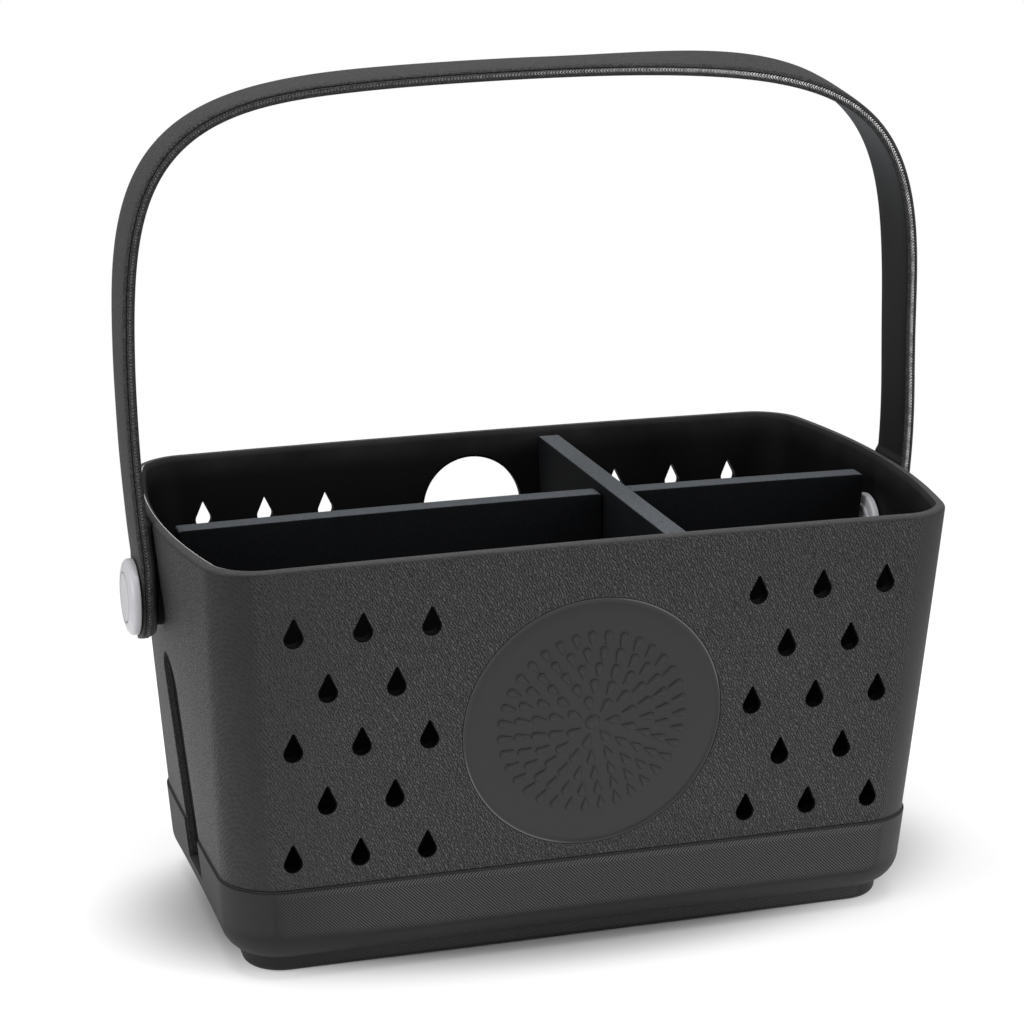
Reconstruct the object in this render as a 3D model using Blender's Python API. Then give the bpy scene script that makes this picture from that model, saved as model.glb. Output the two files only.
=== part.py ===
"""Moulded foam bath caddy: a tub, a swinging strap handle and two dividers.

Metres, +Z up. The origin is the middle of the sole. The length runs along X
and the front faces -Y. Each divider lifts straight out, and the strap swings
about the line through its two buttons.
"""
import math

import bmesh
import bpy
import numpy as np
from mathutils import Matrix, Vector

# Fits
CLEARANCE = 0.0003
SLIDING_CLEARANCE = 0.0005
CUT_OVERRUN = 0.0100

# Tub, outside. The waist is the level of the parting groove.
TUB_HEIGHT = 0.1945
RIM_LENGTH = 0.3552
RIM_DEPTH = 0.2080
WAIST_LENGTH = 0.3238
WAIST_DEPTH = 0.1724
WAIST_HEIGHT = 0.0435
RIM_END_BOW = 0.0130
WAIST_END_BOW = 0.0010
RIM_CORNER_RADIUS = 0.0200
WAIST_CORNER_RADIUS = 0.0255
RIM_CROWN = 0.0010

# Tub, inside
WALL = 0.0055
FLOOR_TOP = 0.0120
FLOOR_FILLET = 0.0080

# Parting groove, base band and foot
GROOVE_DEPTH = 0.0008
GROOVE_WIDTH = 0.0016
BAND_PROUD = 0.0010
BAND_TURN_RADIUS = 0.0135
BAND_LIP = 0.0008
FOOT_HEIGHT = 0.0080
FOOT_INSET = 0.0078
FOOT_EDGE_RADIUS = 0.0030

# Drop-shaped vents, in two fields on the front and on the back
VENT_WIDTH = 0.0080
VENT_HEIGHT = 0.0126
VENT_COLUMN_PITCH = 0.0300
VENT_ROW_PITCH = 0.02645
VENT_END_MARGIN = 0.0278
VENT_RIM_MARGIN = 0.0234
VENT_ROWS = 5
VENT_COLUMNS = 3

# Round medallion panel on the front, round grip hole in the back
MEDALLION_DIAMETER = 0.1190
MEDALLION_DEPTH = 0.0010
MEDALLION_WAIST_GAP = 0.0062
GRIP_HOLE_DIAMETER = 0.0500
GRIP_HOLE_RIM_MARGIN = 0.0122

# Arched recess down each end wall
RECESS_WIDTH = 0.0300
RECESS_DEPTH = 0.0030
RECESS_TOP_DROP = 0.0277
RECESS_BOTTOM = 0.0240

# Pivot, its moulded seat, the buttons and the inner caps
PIVOT_DROP = 0.0380
SEAT_DIAMETER = 0.0270
STEM_DIAMETER = 0.0100
BUTTON_DIAMETER = 0.0345
BUTTON_HEIGHT = 0.0051
BUTTON_FACE_CROWN = 0.0008
BUTTON_EDGE_RADIUS = 0.0024
BUTTON_FOOT_CHAMFER = 0.0006
BUTTON_RING_DIAMETER = 0.0272
BUTTON_RING_WIDTH = 0.0010
BUTTON_RING_DEPTH = 0.0005
BUTTON_DISH_DIAMETER = 0.0150
BUTTON_DISH_DEPTH = 0.0006
CAP_DIAMETER = 0.0370
CAP_THICKNESS = 0.0032
CAP_EDGE_CHAMFER = 0.0008
CAP_RING_DIAMETER = 0.0240
CAP_RING_WIDTH = 0.0030
CAP_RING_HEIGHT = 0.0005
CAP_SOCKET_DEPTH = 0.0020

# Strap handle. The gap keeps the strap off the leaning wall at both ends of the leg's lean.
STRAP_WALL_GAP = 0.0004
STRAP_WIDTH = 0.0285
GRIP_WIDTH = 0.0360
STRAP_THICKNESS = 0.0058
TAB_THICKNESS = 0.0072
TAB_RISE = 0.0350
TAB_RAMP = 0.0040
TAB_DROP = 0.0195
STRAP_EDGE_CHAMFER = 0.0010
STRAP_FLAT_RISE = 0.0175
ARCH_RISE = 0.2303
ARCH_SPRING_RISE = 0.0755

# Dividers
DIVIDER_THICKNESS = 0.0105
CROSS_X = 0.0395
CROSS_RIM_DROP = 0.0038
LONG_RIM_DROP = 0.0070
LONG_CROWN = 0.0012
LONG_END_GAP = 0.0066

# Exponents and counts of facets
ARCH_SQUARENESS = 4.2
CORNER_STEPS = 8
LONG_SIDE_STEPS = 10
END_SIDE_STEPS = 8
ARC_STEPS = 5
VENT_STEPS = 14
ROUND_STEPS = 32
MEDALLION_STEPS = 56
TAB_END_STEPS = 7
STRAP_LEG_STEPS = 9
ARCH_FINE_STEPS = 1600
ARCH_STEPS = 44
CROWN_STEPS = 6

# Sizes that follow from the ones above
PIVOT_HEIGHT = TUB_HEIGHT - PIVOT_DROP
CROSS_TOP = TUB_HEIGHT - CROSS_RIM_DROP
LONG_TOP = TUB_HEIGHT - LONG_RIM_DROP
DIVIDER_FOOT = FLOOR_TOP + CLEARANCE
LAP_HEIGHT = (DIVIDER_FOOT + LONG_TOP) / 2


def clear_scene():
    for item in list(bpy.data.objects):
        bpy.data.objects.remove(item, do_unlink=True)


def make_material(name, colour, roughness, metallic=0.0):
    material = bpy.data.materials.new(name)
    material.use_nodes = True
    shader = material.node_tree.nodes["Principled BSDF"]
    shader.inputs["Base Color"].default_value = (*colour, 1.0)
    shader.inputs["Roughness"].default_value = roughness
    shader.inputs["Metallic"].default_value = metallic
    return material


def add_object(name, mesh, material=None, location=(0, 0, 0), rotation=(0, 0, 0)):
    item = bpy.data.objects.new(name, mesh)
    item.location = location
    item.rotation_euler = rotation
    bpy.context.scene.collection.objects.link(item)
    if material:
        mesh.materials.clear()
        mesh.materials.append(material)
        mesh.shade_smooth()
        mesh.set_sharp_from_angle(angle=math.radians(35))
    return item


def add_cutter(name, mesh):
    cutter = add_object(name, mesh)
    cutter.hide_render = True
    cutter.display_type = "WIRE"
    return cutter


def combine(item, other, operation):
    modifier = item.modifiers.new(f"{operation.lower()}_{other.name}", "BOOLEAN")
    modifier.operation = operation
    modifier.solver = "EXACT"
    modifier.object = other


def skinned_mesh(name, rings):
    """Closed mesh over rings of equally many points, its two ends capped."""
    shape = bmesh.new()
    loops = [[shape.verts.new(point) for point in ring] for ring in rings]
    for lower, upper in zip(loops, loops[1:]):
        count = len(lower)
        for k in range(count):
            following = (k + 1) % count
            shape.faces.new((lower[k], lower[following], upper[following], upper[k]))
    shape.faces.new(list(reversed(loops[0])))
    shape.faces.new(loops[-1])
    bmesh.ops.recalc_face_normals(shape, faces=shape.faces)
    mesh = bpy.data.meshes.new(name)
    shape.to_mesh(mesh)
    shape.free()
    return mesh


def prism_mesh(name, outlines, frame, near, far):
    """Prisms over flat outlines in a frame's XY plane, from near to far along its Z."""
    shape = bmesh.new()
    for outline in outlines:
        lower = [shape.verts.new(frame @ Vector((u, v, near))) for u, v in outline]
        upper = [shape.verts.new(frame @ Vector((u, v, far))) for u, v in outline]
        count = len(outline)
        for k in range(count):
            following = (k + 1) % count
            shape.faces.new((lower[k], lower[following], upper[following], upper[k]))
        shape.faces.new(list(reversed(lower)))
        shape.faces.new(upper)
    bmesh.ops.recalc_face_normals(shape, faces=shape.faces)
    mesh = bpy.data.meshes.new(name)
    shape.to_mesh(mesh)
    shape.free()
    return mesh


def turned_mesh(name, profile, steps=ROUND_STEPS):
    """Profile of (radius, height) turned about Z, its first and last points on the axis."""
    shape = bmesh.new()
    points = [shape.verts.new((radius, 0, height)) for radius, height in profile]
    edges = [shape.edges.new(pair) for pair in zip(points, points[1:])]
    bmesh.ops.spin(shape, geom=points + edges, cent=(0, 0, 0), axis=(0, 0, 1),
                   angle=math.tau, steps=steps, use_merge=False)
    bmesh.ops.remove_doubles(shape, verts=shape.verts, dist=CLEARANCE / ROUND_STEPS)
    bmesh.ops.recalc_face_normals(shape, faces=shape.faces)
    mesh = bpy.data.meshes.new(name)
    shape.to_mesh(mesh)
    shape.free()
    return mesh


def circle(radius, steps, centre=(0, 0)):
    angles = np.linspace(0, math.tau, steps, endpoint=False)
    return [(centre[0] + radius * math.cos(a), centre[1] + radius * math.sin(a)) for a in angles]


def arc(centre, radius, start, end, steps=ARC_STEPS):
    """Points on an arc, with the angles in degrees."""
    angles = np.radians(np.linspace(start, end, steps + 1))
    return [(centre[0] + radius * math.cos(a), centre[1] + radius * math.sin(a)) for a in angles]


def rise_share(height):
    """Share of the way from the waist up to the rim."""
    return (height - WAIST_HEIGHT) / (TUB_HEIGHT - WAIST_HEIGHT)


def between(waist, rim, height):
    return waist + (rim - waist) * rise_share(height)


def half_length(height):
    return between(WAIST_LENGTH, RIM_LENGTH, height) / 2


def half_depth(height):
    return between(WAIST_DEPTH, RIM_DEPTH, height) / 2


def end_bow(height):
    return between(WAIST_END_BOW, RIM_END_BOW, height)


def end_slope():
    """How far an end wall leans out for each metre up, at mid-depth."""
    return (RIM_LENGTH - WAIST_LENGTH) / 2 / (TUB_HEIGHT - WAIST_HEIGHT)


def side_slope():
    return (RIM_DEPTH - WAIST_DEPTH) / 2 / (TUB_HEIGHT - WAIST_HEIGHT)


def tub_ring(height, inset):
    """Level outline of the tub: a rounded rectangle whose ends swell to a parabola.

    The rim's ends dip by the crown, which fades to nothing at the waist.
    """
    depth = half_depth(height) - inset
    bow = end_bow(height)
    length = half_length(height) - bow - inset
    radius = between(WAIST_CORNER_RADIUS, RIM_CORNER_RADIUS, height) - inset
    side_x = np.linspace(-1, 1, LONG_SIDE_STEPS + 1)[1:-1] * (length - radius)
    end_y = np.linspace(-1, 1, END_SIDE_STEPS + 1)[1:-1] * (depth - radius)
    flat = [(x, -depth) for x in side_x]
    flat += arc((length - radius, radius - depth), radius, -90, 0, CORNER_STEPS)
    flat += [(length, y) for y in end_y]
    flat += arc((length - radius, depth - radius), radius, 0, 90, CORNER_STEPS)
    flat += [(x, depth) for x in reversed(side_x)]
    flat += arc((radius - length, depth - radius), radius, 90, 180, CORNER_STEPS)
    flat += [(-length, y) for y in reversed(end_y)]
    flat += arc((radius - length, radius - depth), radius, 180, 270, CORNER_STEPS)
    dip = RIM_CROWN * max(rise_share(height), 0)
    ring = []
    for x, y in flat:
        swell = 1 + bow / length * (1 - (y / depth) ** 2)
        ring.append((x * swell, y, height - dip * (x / length) ** 2))
    return ring


def tub_stations():
    """Heights and insets of the tub's rings, from the sole out, up, over and in."""
    turn_inset = BAND_TURN_RADIUS - BAND_PROUD
    lip_inset = FOOT_INSET - BAND_LIP
    lip_angle = math.degrees(math.asin((turn_inset - lip_inset) / BAND_TURN_RADIUS))
    turn_height = FOOT_HEIGHT + BAND_TURN_RADIUS * math.cos(math.radians(lip_angle))
    stations = arc((FOOT_EDGE_RADIUS, FOOT_INSET + FOOT_EDGE_RADIUS), FOOT_EDGE_RADIUS, 180, 270, 3)
    stations.append((FOOT_HEIGHT, FOOT_INSET))
    stations += arc((turn_height, turn_inset), BAND_TURN_RADIUS, 180 + lip_angle, 270)
    stations.append((WAIST_HEIGHT - GROOVE_WIDTH / 2, -BAND_PROUD))
    stations.append((WAIST_HEIGHT, GROOVE_DEPTH))
    stations.append((WAIST_HEIGHT + GROOVE_WIDTH / 2, 0))
    stations += arc((TUB_HEIGHT - WALL / 2, WALL / 2), WALL / 2, -90, 90)
    fillet_centre = (FLOOR_TOP + FLOOR_FILLET, WALL + FLOOR_FILLET)
    stations += arc(fillet_centre, FLOOR_FILLET, 270, 180, 4)
    return stations


def front_frame(height):
    """Frame on the front wall: X along the wall, Y up it and Z straight out."""
    up = Vector((0, -side_slope(), 1)).normalized()
    across = Vector((1, 0, 0))
    return frame_at((0, -half_depth(height), height), across, up)


def end_frame(side, height):
    """Frame on an end wall, on the +X end for side 1 and on the -X end for side -1."""
    up = Vector((side * end_slope(), 0, 1)).normalized()
    across = Vector((0, side, 0))
    return frame_at((side * half_length(height), 0, height), across, up)


def frame_at(origin, across, up):
    frame = Matrix((across, up, across.cross(up))).transposed().to_4x4()
    frame.translation = origin
    return frame


def drop_outline(centre_x, tip_height):
    """Pointed drop: width sin t sin(t/2), height cos t, scaled to the vent's sizes."""
    turns = np.linspace(0, math.tau, VENT_STEPS, endpoint=False)
    widths = np.sin(turns) * np.sin(turns / 2)
    widest = 4 / (3 * math.sqrt(3))
    xs = centre_x + widths * VENT_WIDTH / 2 / widest
    zs = tip_height - (1 - np.cos(turns)) * VENT_HEIGHT / 2
    return list(zip(xs, zs))


def vent_outlines():
    """Rows of three and two drops in turn, with the outer column at the end margin."""
    outlines = []
    outer_x = WAIST_LENGTH / 2 - VENT_END_MARGIN
    for row in range(VENT_ROWS):
        tip = TUB_HEIGHT - VENT_RIM_MARGIN - row * VENT_ROW_PITCH
        shift = (row % 2) / 2
        for column in range(VENT_COLUMNS - row % 2):
            x = outer_x - (column + shift) * VENT_COLUMN_PITCH
            outlines += [drop_outline(x, tip), drop_outline(-x, tip)]
    return outlines


def seat_x():
    """Face of the moulded pivot seat, proud enough for the upright tab to clear the wall."""
    return half_length(PIVOT_HEIGHT + STRAP_FLAT_RISE) + STRAP_WALL_GAP


def level_frame(toward, origin=(0, 0, 0)):
    """Frame whose Z runs along a level direction and whose Y is up."""
    up = Vector((0, 0, 1))
    return frame_at(origin, up.cross(Vector(toward)), up)


def make_tub(material):
    rings = [tub_ring(height, inset) for height, inset in tub_stations()]
    tub = add_object("tub", skinned_mesh("tub", rings), material)
    reach = RIM_DEPTH / 2 + CUT_OVERRUN
    length_reach = RIM_LENGTH / 2 + CUT_OVERRUN

    pivot = (0, PIVOT_HEIGHT)
    for side, label in ((-1, "left"), (1, "right")):
        frame = end_frame(side, RECESS_BOTTOM)
        recess = prism_mesh(f"recess_{label}", [recess_outline()], frame, -RECESS_DEPTH, CUT_OVERRUN)
        combine(tub, add_cutter(f"recess_cutter_{label}", recess), "DIFFERENCE")
        seat = prism_mesh(f"seat_{label}", [circle(SEAT_DIAMETER / 2, ROUND_STEPS, pivot)],
                          level_frame((side, 0, 0)), half_length(PIVOT_HEIGHT) - WALL / 2, seat_x())
        combine(tub, add_cutter(f"seat_form_{label}", seat), "UNION")

    bore = circle(STEM_DIAMETER / 2 + CLEARANCE, ROUND_STEPS, pivot)
    pivots = prism_mesh("pivots", [bore], level_frame((1, 0, 0)), -length_reach, length_reach)
    combine(tub, add_cutter("pivot_cutter", pivots), "DIFFERENCE")

    medallion_height = WAIST_HEIGHT + MEDALLION_WAIST_GAP + MEDALLION_DIAMETER / 2
    medallion = prism_mesh("medallion", [circle(MEDALLION_DIAMETER / 2, MEDALLION_STEPS)],
                           front_frame(medallion_height), -MEDALLION_DEPTH, CUT_OVERRUN)
    combine(tub, add_cutter("medallion_cutter", medallion), "DIFFERENCE")

    grip_height = TUB_HEIGHT - GRIP_HOLE_RIM_MARGIN - GRIP_HOLE_DIAMETER / 2
    grip = prism_mesh("grip_hole", [circle(GRIP_HOLE_DIAMETER / 2, ROUND_STEPS, (0, grip_height))],
                      level_frame((0, 1, 0)), 0, reach)
    combine(tub, add_cutter("grip_hole_cutter", grip), "DIFFERENCE")

    vents = prism_mesh("vents", vent_outlines(), level_frame((0, -1, 0)), -reach, reach)
    combine(tub, add_cutter("vent_cutter", vents), "DIFFERENCE")
    return tub


def recess_outline():
    """Square foot and round top, with the foot on the frame's X axis."""
    radius = RECESS_WIDTH / 2
    spring = PIVOT_HEIGHT - RECESS_TOP_DROP - RECESS_BOTTOM - radius
    return [(-radius, 0), (radius, 0)] + arc((0, spring), radius, 0, 180, 2 * CORNER_STEPS + 1)


def ease(share):
    """Smooth step from 0 to 1, level at both ends."""
    share = min(max(share, 0), 1)
    return share * share * (3 - 2 * share)


def lean_share(rise):
    """Share of the leg's lean at a rise: most of it low down, none left at the spring."""
    share = (rise - STRAP_FLAT_RISE) / (ARCH_SPRING_RISE - STRAP_FLAT_RISE)
    return share * (2 - share)


def tab_face_x():
    """Outer face of the upright tab."""
    return seat_x() + CLEARANCE + TAB_THICKNESS


def arch_half_span():
    """Outer face at the spring, with the lean that clears the wall where the thick tab ends."""
    clear_x = half_length(PIVOT_HEIGHT + TAB_RISE) + STRAP_WALL_GAP + TAB_THICKNESS
    return tab_face_x() + (clear_x - tab_face_x()) / lean_share(TAB_RISE)


def strap_path():
    """Half of the strap's outer face, as (x, rise over the pivot), from its end to the top.

    Flat under the button, then a lean outwards that straightens up, then a
    superellipse over the top. The round end is left to the width.
    """
    flat_x = tab_face_x()
    half_span = arch_half_span()
    turns = np.linspace(math.pi / 2 / TAB_END_STEPS / 2, math.pi / 2, TAB_END_STEPS)
    end = [(flat_x, -TAB_DROP * math.cos(a)) for a in turns]
    ramp = [TAB_RISE, TAB_RISE + TAB_RAMP]
    rises = np.linspace(STRAP_FLAT_RISE, ARCH_SPRING_RISE, STRAP_LEG_STEPS + 1)[:-1]
    leg = [(flat_x + (half_span - flat_x) * lean_share(rise), rise)
           for rise in sorted([*rises, *ramp])]
    fine = np.linspace(0, math.pi / 2, ARCH_FINE_STEPS)
    power = 2 / ARCH_SQUARENESS
    xs = half_span * np.clip(np.cos(fine), 0, 1) ** power
    zs = ARCH_SPRING_RISE + (ARCH_RISE - ARCH_SPRING_RISE) * np.sin(fine) ** power
    run = np.concatenate([[0], np.cumsum(np.hypot(np.diff(xs), np.diff(zs)))])
    even = np.linspace(0, run[-1], ARCH_STEPS // 2 + 1)
    arch = list(zip(np.interp(even, run, xs), np.interp(even, run, zs)))
    return end + leg + arch


def strap_section(rise):
    """Half width and thickness: a round tab with a thick back, and a wider grip on top."""
    grip = ease((rise - ARCH_SPRING_RISE) / (ARCH_RISE - ARCH_SPRING_RISE))
    width = STRAP_WIDTH + (GRIP_WIDTH - STRAP_WIDTH) * grip
    if rise < 0:
        width *= math.sqrt(max(1 - (rise / TAB_DROP) ** 2, 0))
    thin = min(max((rise - TAB_RISE) / TAB_RAMP, 0), 1)
    return width / 2, TAB_THICKNESS + (STRAP_THICKNESS - TAB_THICKNESS) * thin


def strap_ring(point, normal):
    """Eight-sided section: the strap's width along Y and its thickness inwards."""
    half_width, inner = strap_section(point[1])
    chamfer = min(STRAP_EDGE_CHAMFER, half_width / 2)
    section = [(chamfer - half_width, 0), (half_width - chamfer, 0), (half_width, chamfer),
               (half_width, inner - chamfer), (half_width - chamfer, inner),
               (chamfer - half_width, inner), (-half_width, inner - chamfer), (-half_width, chamfer)]
    return [(point[0] - normal[0] * depth, y, point[1] - normal[1] * depth) for y, depth in section]


def make_strap(material):
    half = strap_path()
    path = np.array(half + [(-x, z) for x, z in reversed(half[:-1])])
    tangent = np.gradient(path, axis=0)
    tangent /= np.linalg.norm(tangent, axis=1)[:, None]
    flat = path[:, 1] <= STRAP_FLAT_RISE
    tangent[flat] = np.sign(path[flat, :1]) * np.array([[0, 1]])
    normals = np.stack([tangent[:, 1], -tangent[:, 0]], axis=1)
    rings = [strap_ring(*item) for item in zip(path, normals)]
    strap = add_object("strap_handle", skinned_mesh("strap_handle", rings), material,
                       location=(0, 0, PIVOT_HEIGHT))
    reach = arch_half_span() + CUT_OVERRUN
    outline = circle(STEM_DIAMETER / 2 + CLEARANCE, ROUND_STEPS, (0, PIVOT_HEIGHT))
    bore = prism_mesh("strap_bore", [outline], level_frame((1, 0, 0)), -reach, reach)
    combine(strap, add_cutter("strap_bore_cutter", bore), "DIFFERENCE")
    return strap


def button_profile(stem_length):
    """Stem, flat underside, rounded edge, ring groove and a shallow middle dish."""
    stem = STEM_DIAMETER / 2
    rim = BUTTON_DIAMETER / 2
    edge = BUTTON_EDGE_RADIUS
    shoulder = BUTTON_HEIGHT - BUTTON_FACE_CROWN
    ring = BUTTON_RING_DIAMETER / 2
    dish = BUTTON_DISH_DIAMETER / 2
    profile = [(0, -stem_length), (stem, -stem_length), (stem, 0)]
    profile += [(rim - BUTTON_FOOT_CHAMFER, 0), (rim, BUTTON_FOOT_CHAMFER)]
    profile += arc((rim - edge, shoulder - edge), edge, 0, 90)
    groove_wall = shoulder + (BUTTON_HEIGHT - shoulder) * (1 - ring / (rim - edge))
    profile += [(ring + BUTTON_RING_WIDTH / 2, groove_wall),
                (ring, groove_wall - BUTTON_RING_DEPTH),
                (ring - BUTTON_RING_WIDTH / 2, groove_wall),
                (dish, BUTTON_HEIGHT),
                (dish - BUTTON_DISH_DEPTH, BUTTON_HEIGHT - BUTTON_DISH_DEPTH),
                (0, BUTTON_HEIGHT - BUTTON_DISH_DEPTH)]
    return profile


def cap_profile():
    """Disc with a blind socket in its back, a chamfered edge and a raised ring."""
    rim = CAP_DIAMETER / 2
    socket = STEM_DIAMETER / 2 + CLEARANCE + CAP_SOCKET_DEPTH * end_slope()
    ring = CAP_RING_DIAMETER / 2
    top = CAP_THICKNESS
    return [(0, CAP_SOCKET_DEPTH), (socket, CAP_SOCKET_DEPTH), (socket, 0),
            (rim, 0), (rim, top - CAP_EDGE_CHAMFER), (rim - CAP_EDGE_CHAMFER, top),
            (ring + CAP_RING_WIDTH / 2, top),
            (ring + CAP_RING_WIDTH / 2 - CAP_RING_HEIGHT, top + CAP_RING_HEIGHT),
            (ring - CAP_RING_WIDTH / 2 + CAP_RING_HEIGHT, top + CAP_RING_HEIGHT),
            (ring - CAP_RING_WIDTH / 2, top), (0, top)]


def cap_back_gap():
    """The bowed wall is hollow behind the flat cap by the bow's sagitta over its radius."""
    inner_depth = half_depth(PIVOT_HEIGHT) - WALL
    return CLEARANCE + end_bow(PIVOT_HEIGHT) * (CAP_DIAMETER / 2 / inner_depth) ** 2


def make_fastenings(material):
    """A button with its stem outside each end, and a cap over the stem inside it."""
    under_head = tab_face_x() + CLEARANCE
    cap_back = half_length(PIVOT_HEIGHT) - WALL - cap_back_gap()
    socket_tilt = STEM_DIAMETER / 2 * end_slope()
    stem_length = under_head - cap_back + CAP_SOCKET_DEPTH - socket_tilt - CLEARANCE
    button = turned_mesh("button", button_profile(stem_length))
    cap = turned_mesh("inner_cap", cap_profile())
    quarter = math.pi / 2
    lean = math.atan(end_slope())
    made = []
    for side, label in ((-1, "left"), (1, "right")):
        made.append(add_object(f"button_{label}", button, material,
                               (side * under_head, 0, PIVOT_HEIGHT), (0, side * quarter, 0)))
        made.append(add_object(f"inner_cap_{label}", cap, material,
                               (side * cap_back, 0, PIVOT_HEIGHT), (0, side * (lean - quarter), 0)))
    return made


def make_cross_divider(material):
    """Board across the tub, slotted from below to drop over the long divider."""
    foot = DIVIDER_FOOT
    chamfer_top = foot + FLOOR_FILLET
    slot = DIVIDER_THICKNESS / 2 + SLIDING_CLEARANCE
    slot_top = LAP_HEIGHT + CLEARANCE
    wall_gap = WALL + SLIDING_CLEARANCE
    half = [(slot, slot_top), (slot, foot),
            (half_depth(foot) - wall_gap - FLOOR_FILLET, foot),
            (half_depth(chamfer_top) - wall_gap, chamfer_top),
            (half_depth(CROSS_TOP) - wall_gap, CROSS_TOP)]
    outline = half + [(-y, z) for y, z in reversed(half)]
    outline = [(y, z - foot) for y, z in outline]
    mesh = prism_mesh("cross_divider", [outline], level_frame((1, 0, 0)),
                      -DIVIDER_THICKNESS / 2, DIVIDER_THICKNESS / 2)
    return add_object("cross_divider", mesh, material, location=(CROSS_X, 0, foot))


def make_long_divider(material):
    """Board along the tub, slotted from above, with a slightly crowned top edge."""
    foot = DIVIDER_FOOT
    corner = max(FLOOR_FILLET - LONG_END_GAP + SLIDING_CLEARANCE, CLEARANCE)
    wall_gap = WALL + LONG_END_GAP
    end_top = LONG_TOP - LONG_CROWN
    reach = half_length(end_top) - wall_gap
    slot_left = CROSS_X - DIVIDER_THICKNESS / 2 - SLIDING_CLEARANCE
    slot_right = CROSS_X + DIVIDER_THICKNESS / 2 + SLIDING_CLEARANCE

    def crowned(x):
        return (x, LONG_TOP - LONG_CROWN * (x / reach) ** 2)

    outline = [(half_length(foot) - wall_gap - corner, foot),
               (half_length(foot + corner) - wall_gap, foot + corner)]
    outline += [crowned(x) for x in np.linspace(reach, slot_right, CROWN_STEPS)]
    outline += [(slot_right, LAP_HEIGHT), (slot_left, LAP_HEIGHT)]
    outline += [crowned(x) for x in np.linspace(slot_left, -reach, 2 * CROWN_STEPS)]
    outline += [(wall_gap - half_length(foot + corner), foot + corner),
                (wall_gap + corner - half_length(foot), foot)]
    outline = [(x, z - foot) for x, z in outline]
    mesh = prism_mesh("long_divider", [outline], level_frame((0, -1, 0)),
                      -DIVIDER_THICKNESS / 2, DIVIDER_THICKNESS / 2)
    return add_object("long_divider", mesh, material, location=(0, 0, foot))


def main():
    clear_scene()
    tub_foam = make_material("charcoal_foam", (0.042, 0.042, 0.044), 0.72)
    strap_foam = make_material("strap_foam", (0.034, 0.034, 0.036), 0.55)
    divider_foam = make_material("divider_foam", (0.026, 0.029, 0.032), 0.85)
    pale_plastic = make_material("pale_plastic", (0.58, 0.57, 0.60), 0.38)
    make_tub(tub_foam)
    make_strap(strap_foam)
    make_fastenings(pale_plastic)
    make_cross_divider(divider_foam)
    make_long_divider(divider_foam)


main()
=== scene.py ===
"""Dressed pieces of a moulded foam bath caddy, fitted over its fixed frame.

Metres, +Z up. The length runs along X and the front faces -Y. Each piece is a
surface worked out with numpy, and each finish is a procedural material.
"""
import math

import bpy
import numpy as np
from bpy.props import FloatProperty, FloatVectorProperty, IntProperty, PointerProperty
from bpy.types import Operator, Panel, PropertyGroup
from mathutils import Matrix, Vector


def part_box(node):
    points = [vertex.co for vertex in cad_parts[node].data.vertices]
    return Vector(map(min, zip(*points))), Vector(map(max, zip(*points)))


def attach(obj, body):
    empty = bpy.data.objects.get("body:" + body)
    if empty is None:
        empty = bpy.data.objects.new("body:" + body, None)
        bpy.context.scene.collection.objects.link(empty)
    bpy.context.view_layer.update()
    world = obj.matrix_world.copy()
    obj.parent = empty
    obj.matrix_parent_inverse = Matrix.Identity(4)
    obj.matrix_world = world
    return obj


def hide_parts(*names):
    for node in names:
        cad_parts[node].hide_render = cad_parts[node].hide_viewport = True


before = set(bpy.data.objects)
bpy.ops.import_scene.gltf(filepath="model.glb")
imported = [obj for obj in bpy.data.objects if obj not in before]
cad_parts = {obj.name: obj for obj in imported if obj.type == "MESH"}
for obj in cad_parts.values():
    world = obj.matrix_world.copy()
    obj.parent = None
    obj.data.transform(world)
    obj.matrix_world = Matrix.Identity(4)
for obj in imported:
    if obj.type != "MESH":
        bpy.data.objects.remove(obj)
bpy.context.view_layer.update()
# The frame's faceted rim stays this far under the tub's height.
RIM_FACET = 0.00013
# Halfway round, a small rounding lies this share of its radius inside both faces.
HALFWAY_SHARE = 0.3
# Radius at which a surface closes on its axis.
POLE = 0.00002
# A rounding takes at most this share of the edge beside it.
ROUNDING_SHARE = 0.45

bl_info = {
    "name": "Foam Bath Caddy",
    "version": (1, 0, 0),
    "blender": (4, 5, 0),
    "location": "3D View > Sidebar > Caddy",
    "description": "Builds the dressed pieces of a moulded foam bath caddy",
    "category": "Object",
}


def length(name, description, default):
    return FloatProperty(name=name, description=description, default=default, unit="LENGTH",
                         precision=5)


def number(name, description, default):
    return FloatProperty(name=name, description=description, default=default, precision=4)


def angle(name, description, degrees):
    return FloatProperty(name=name, description=description, default=math.radians(degrees),
                         subtype="ANGLE")


def colour(name, description, default):
    return FloatVectorProperty(name=name, description=description, default=default, size=3,
                               subtype="COLOR", min=0.0, max=1.0)


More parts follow.
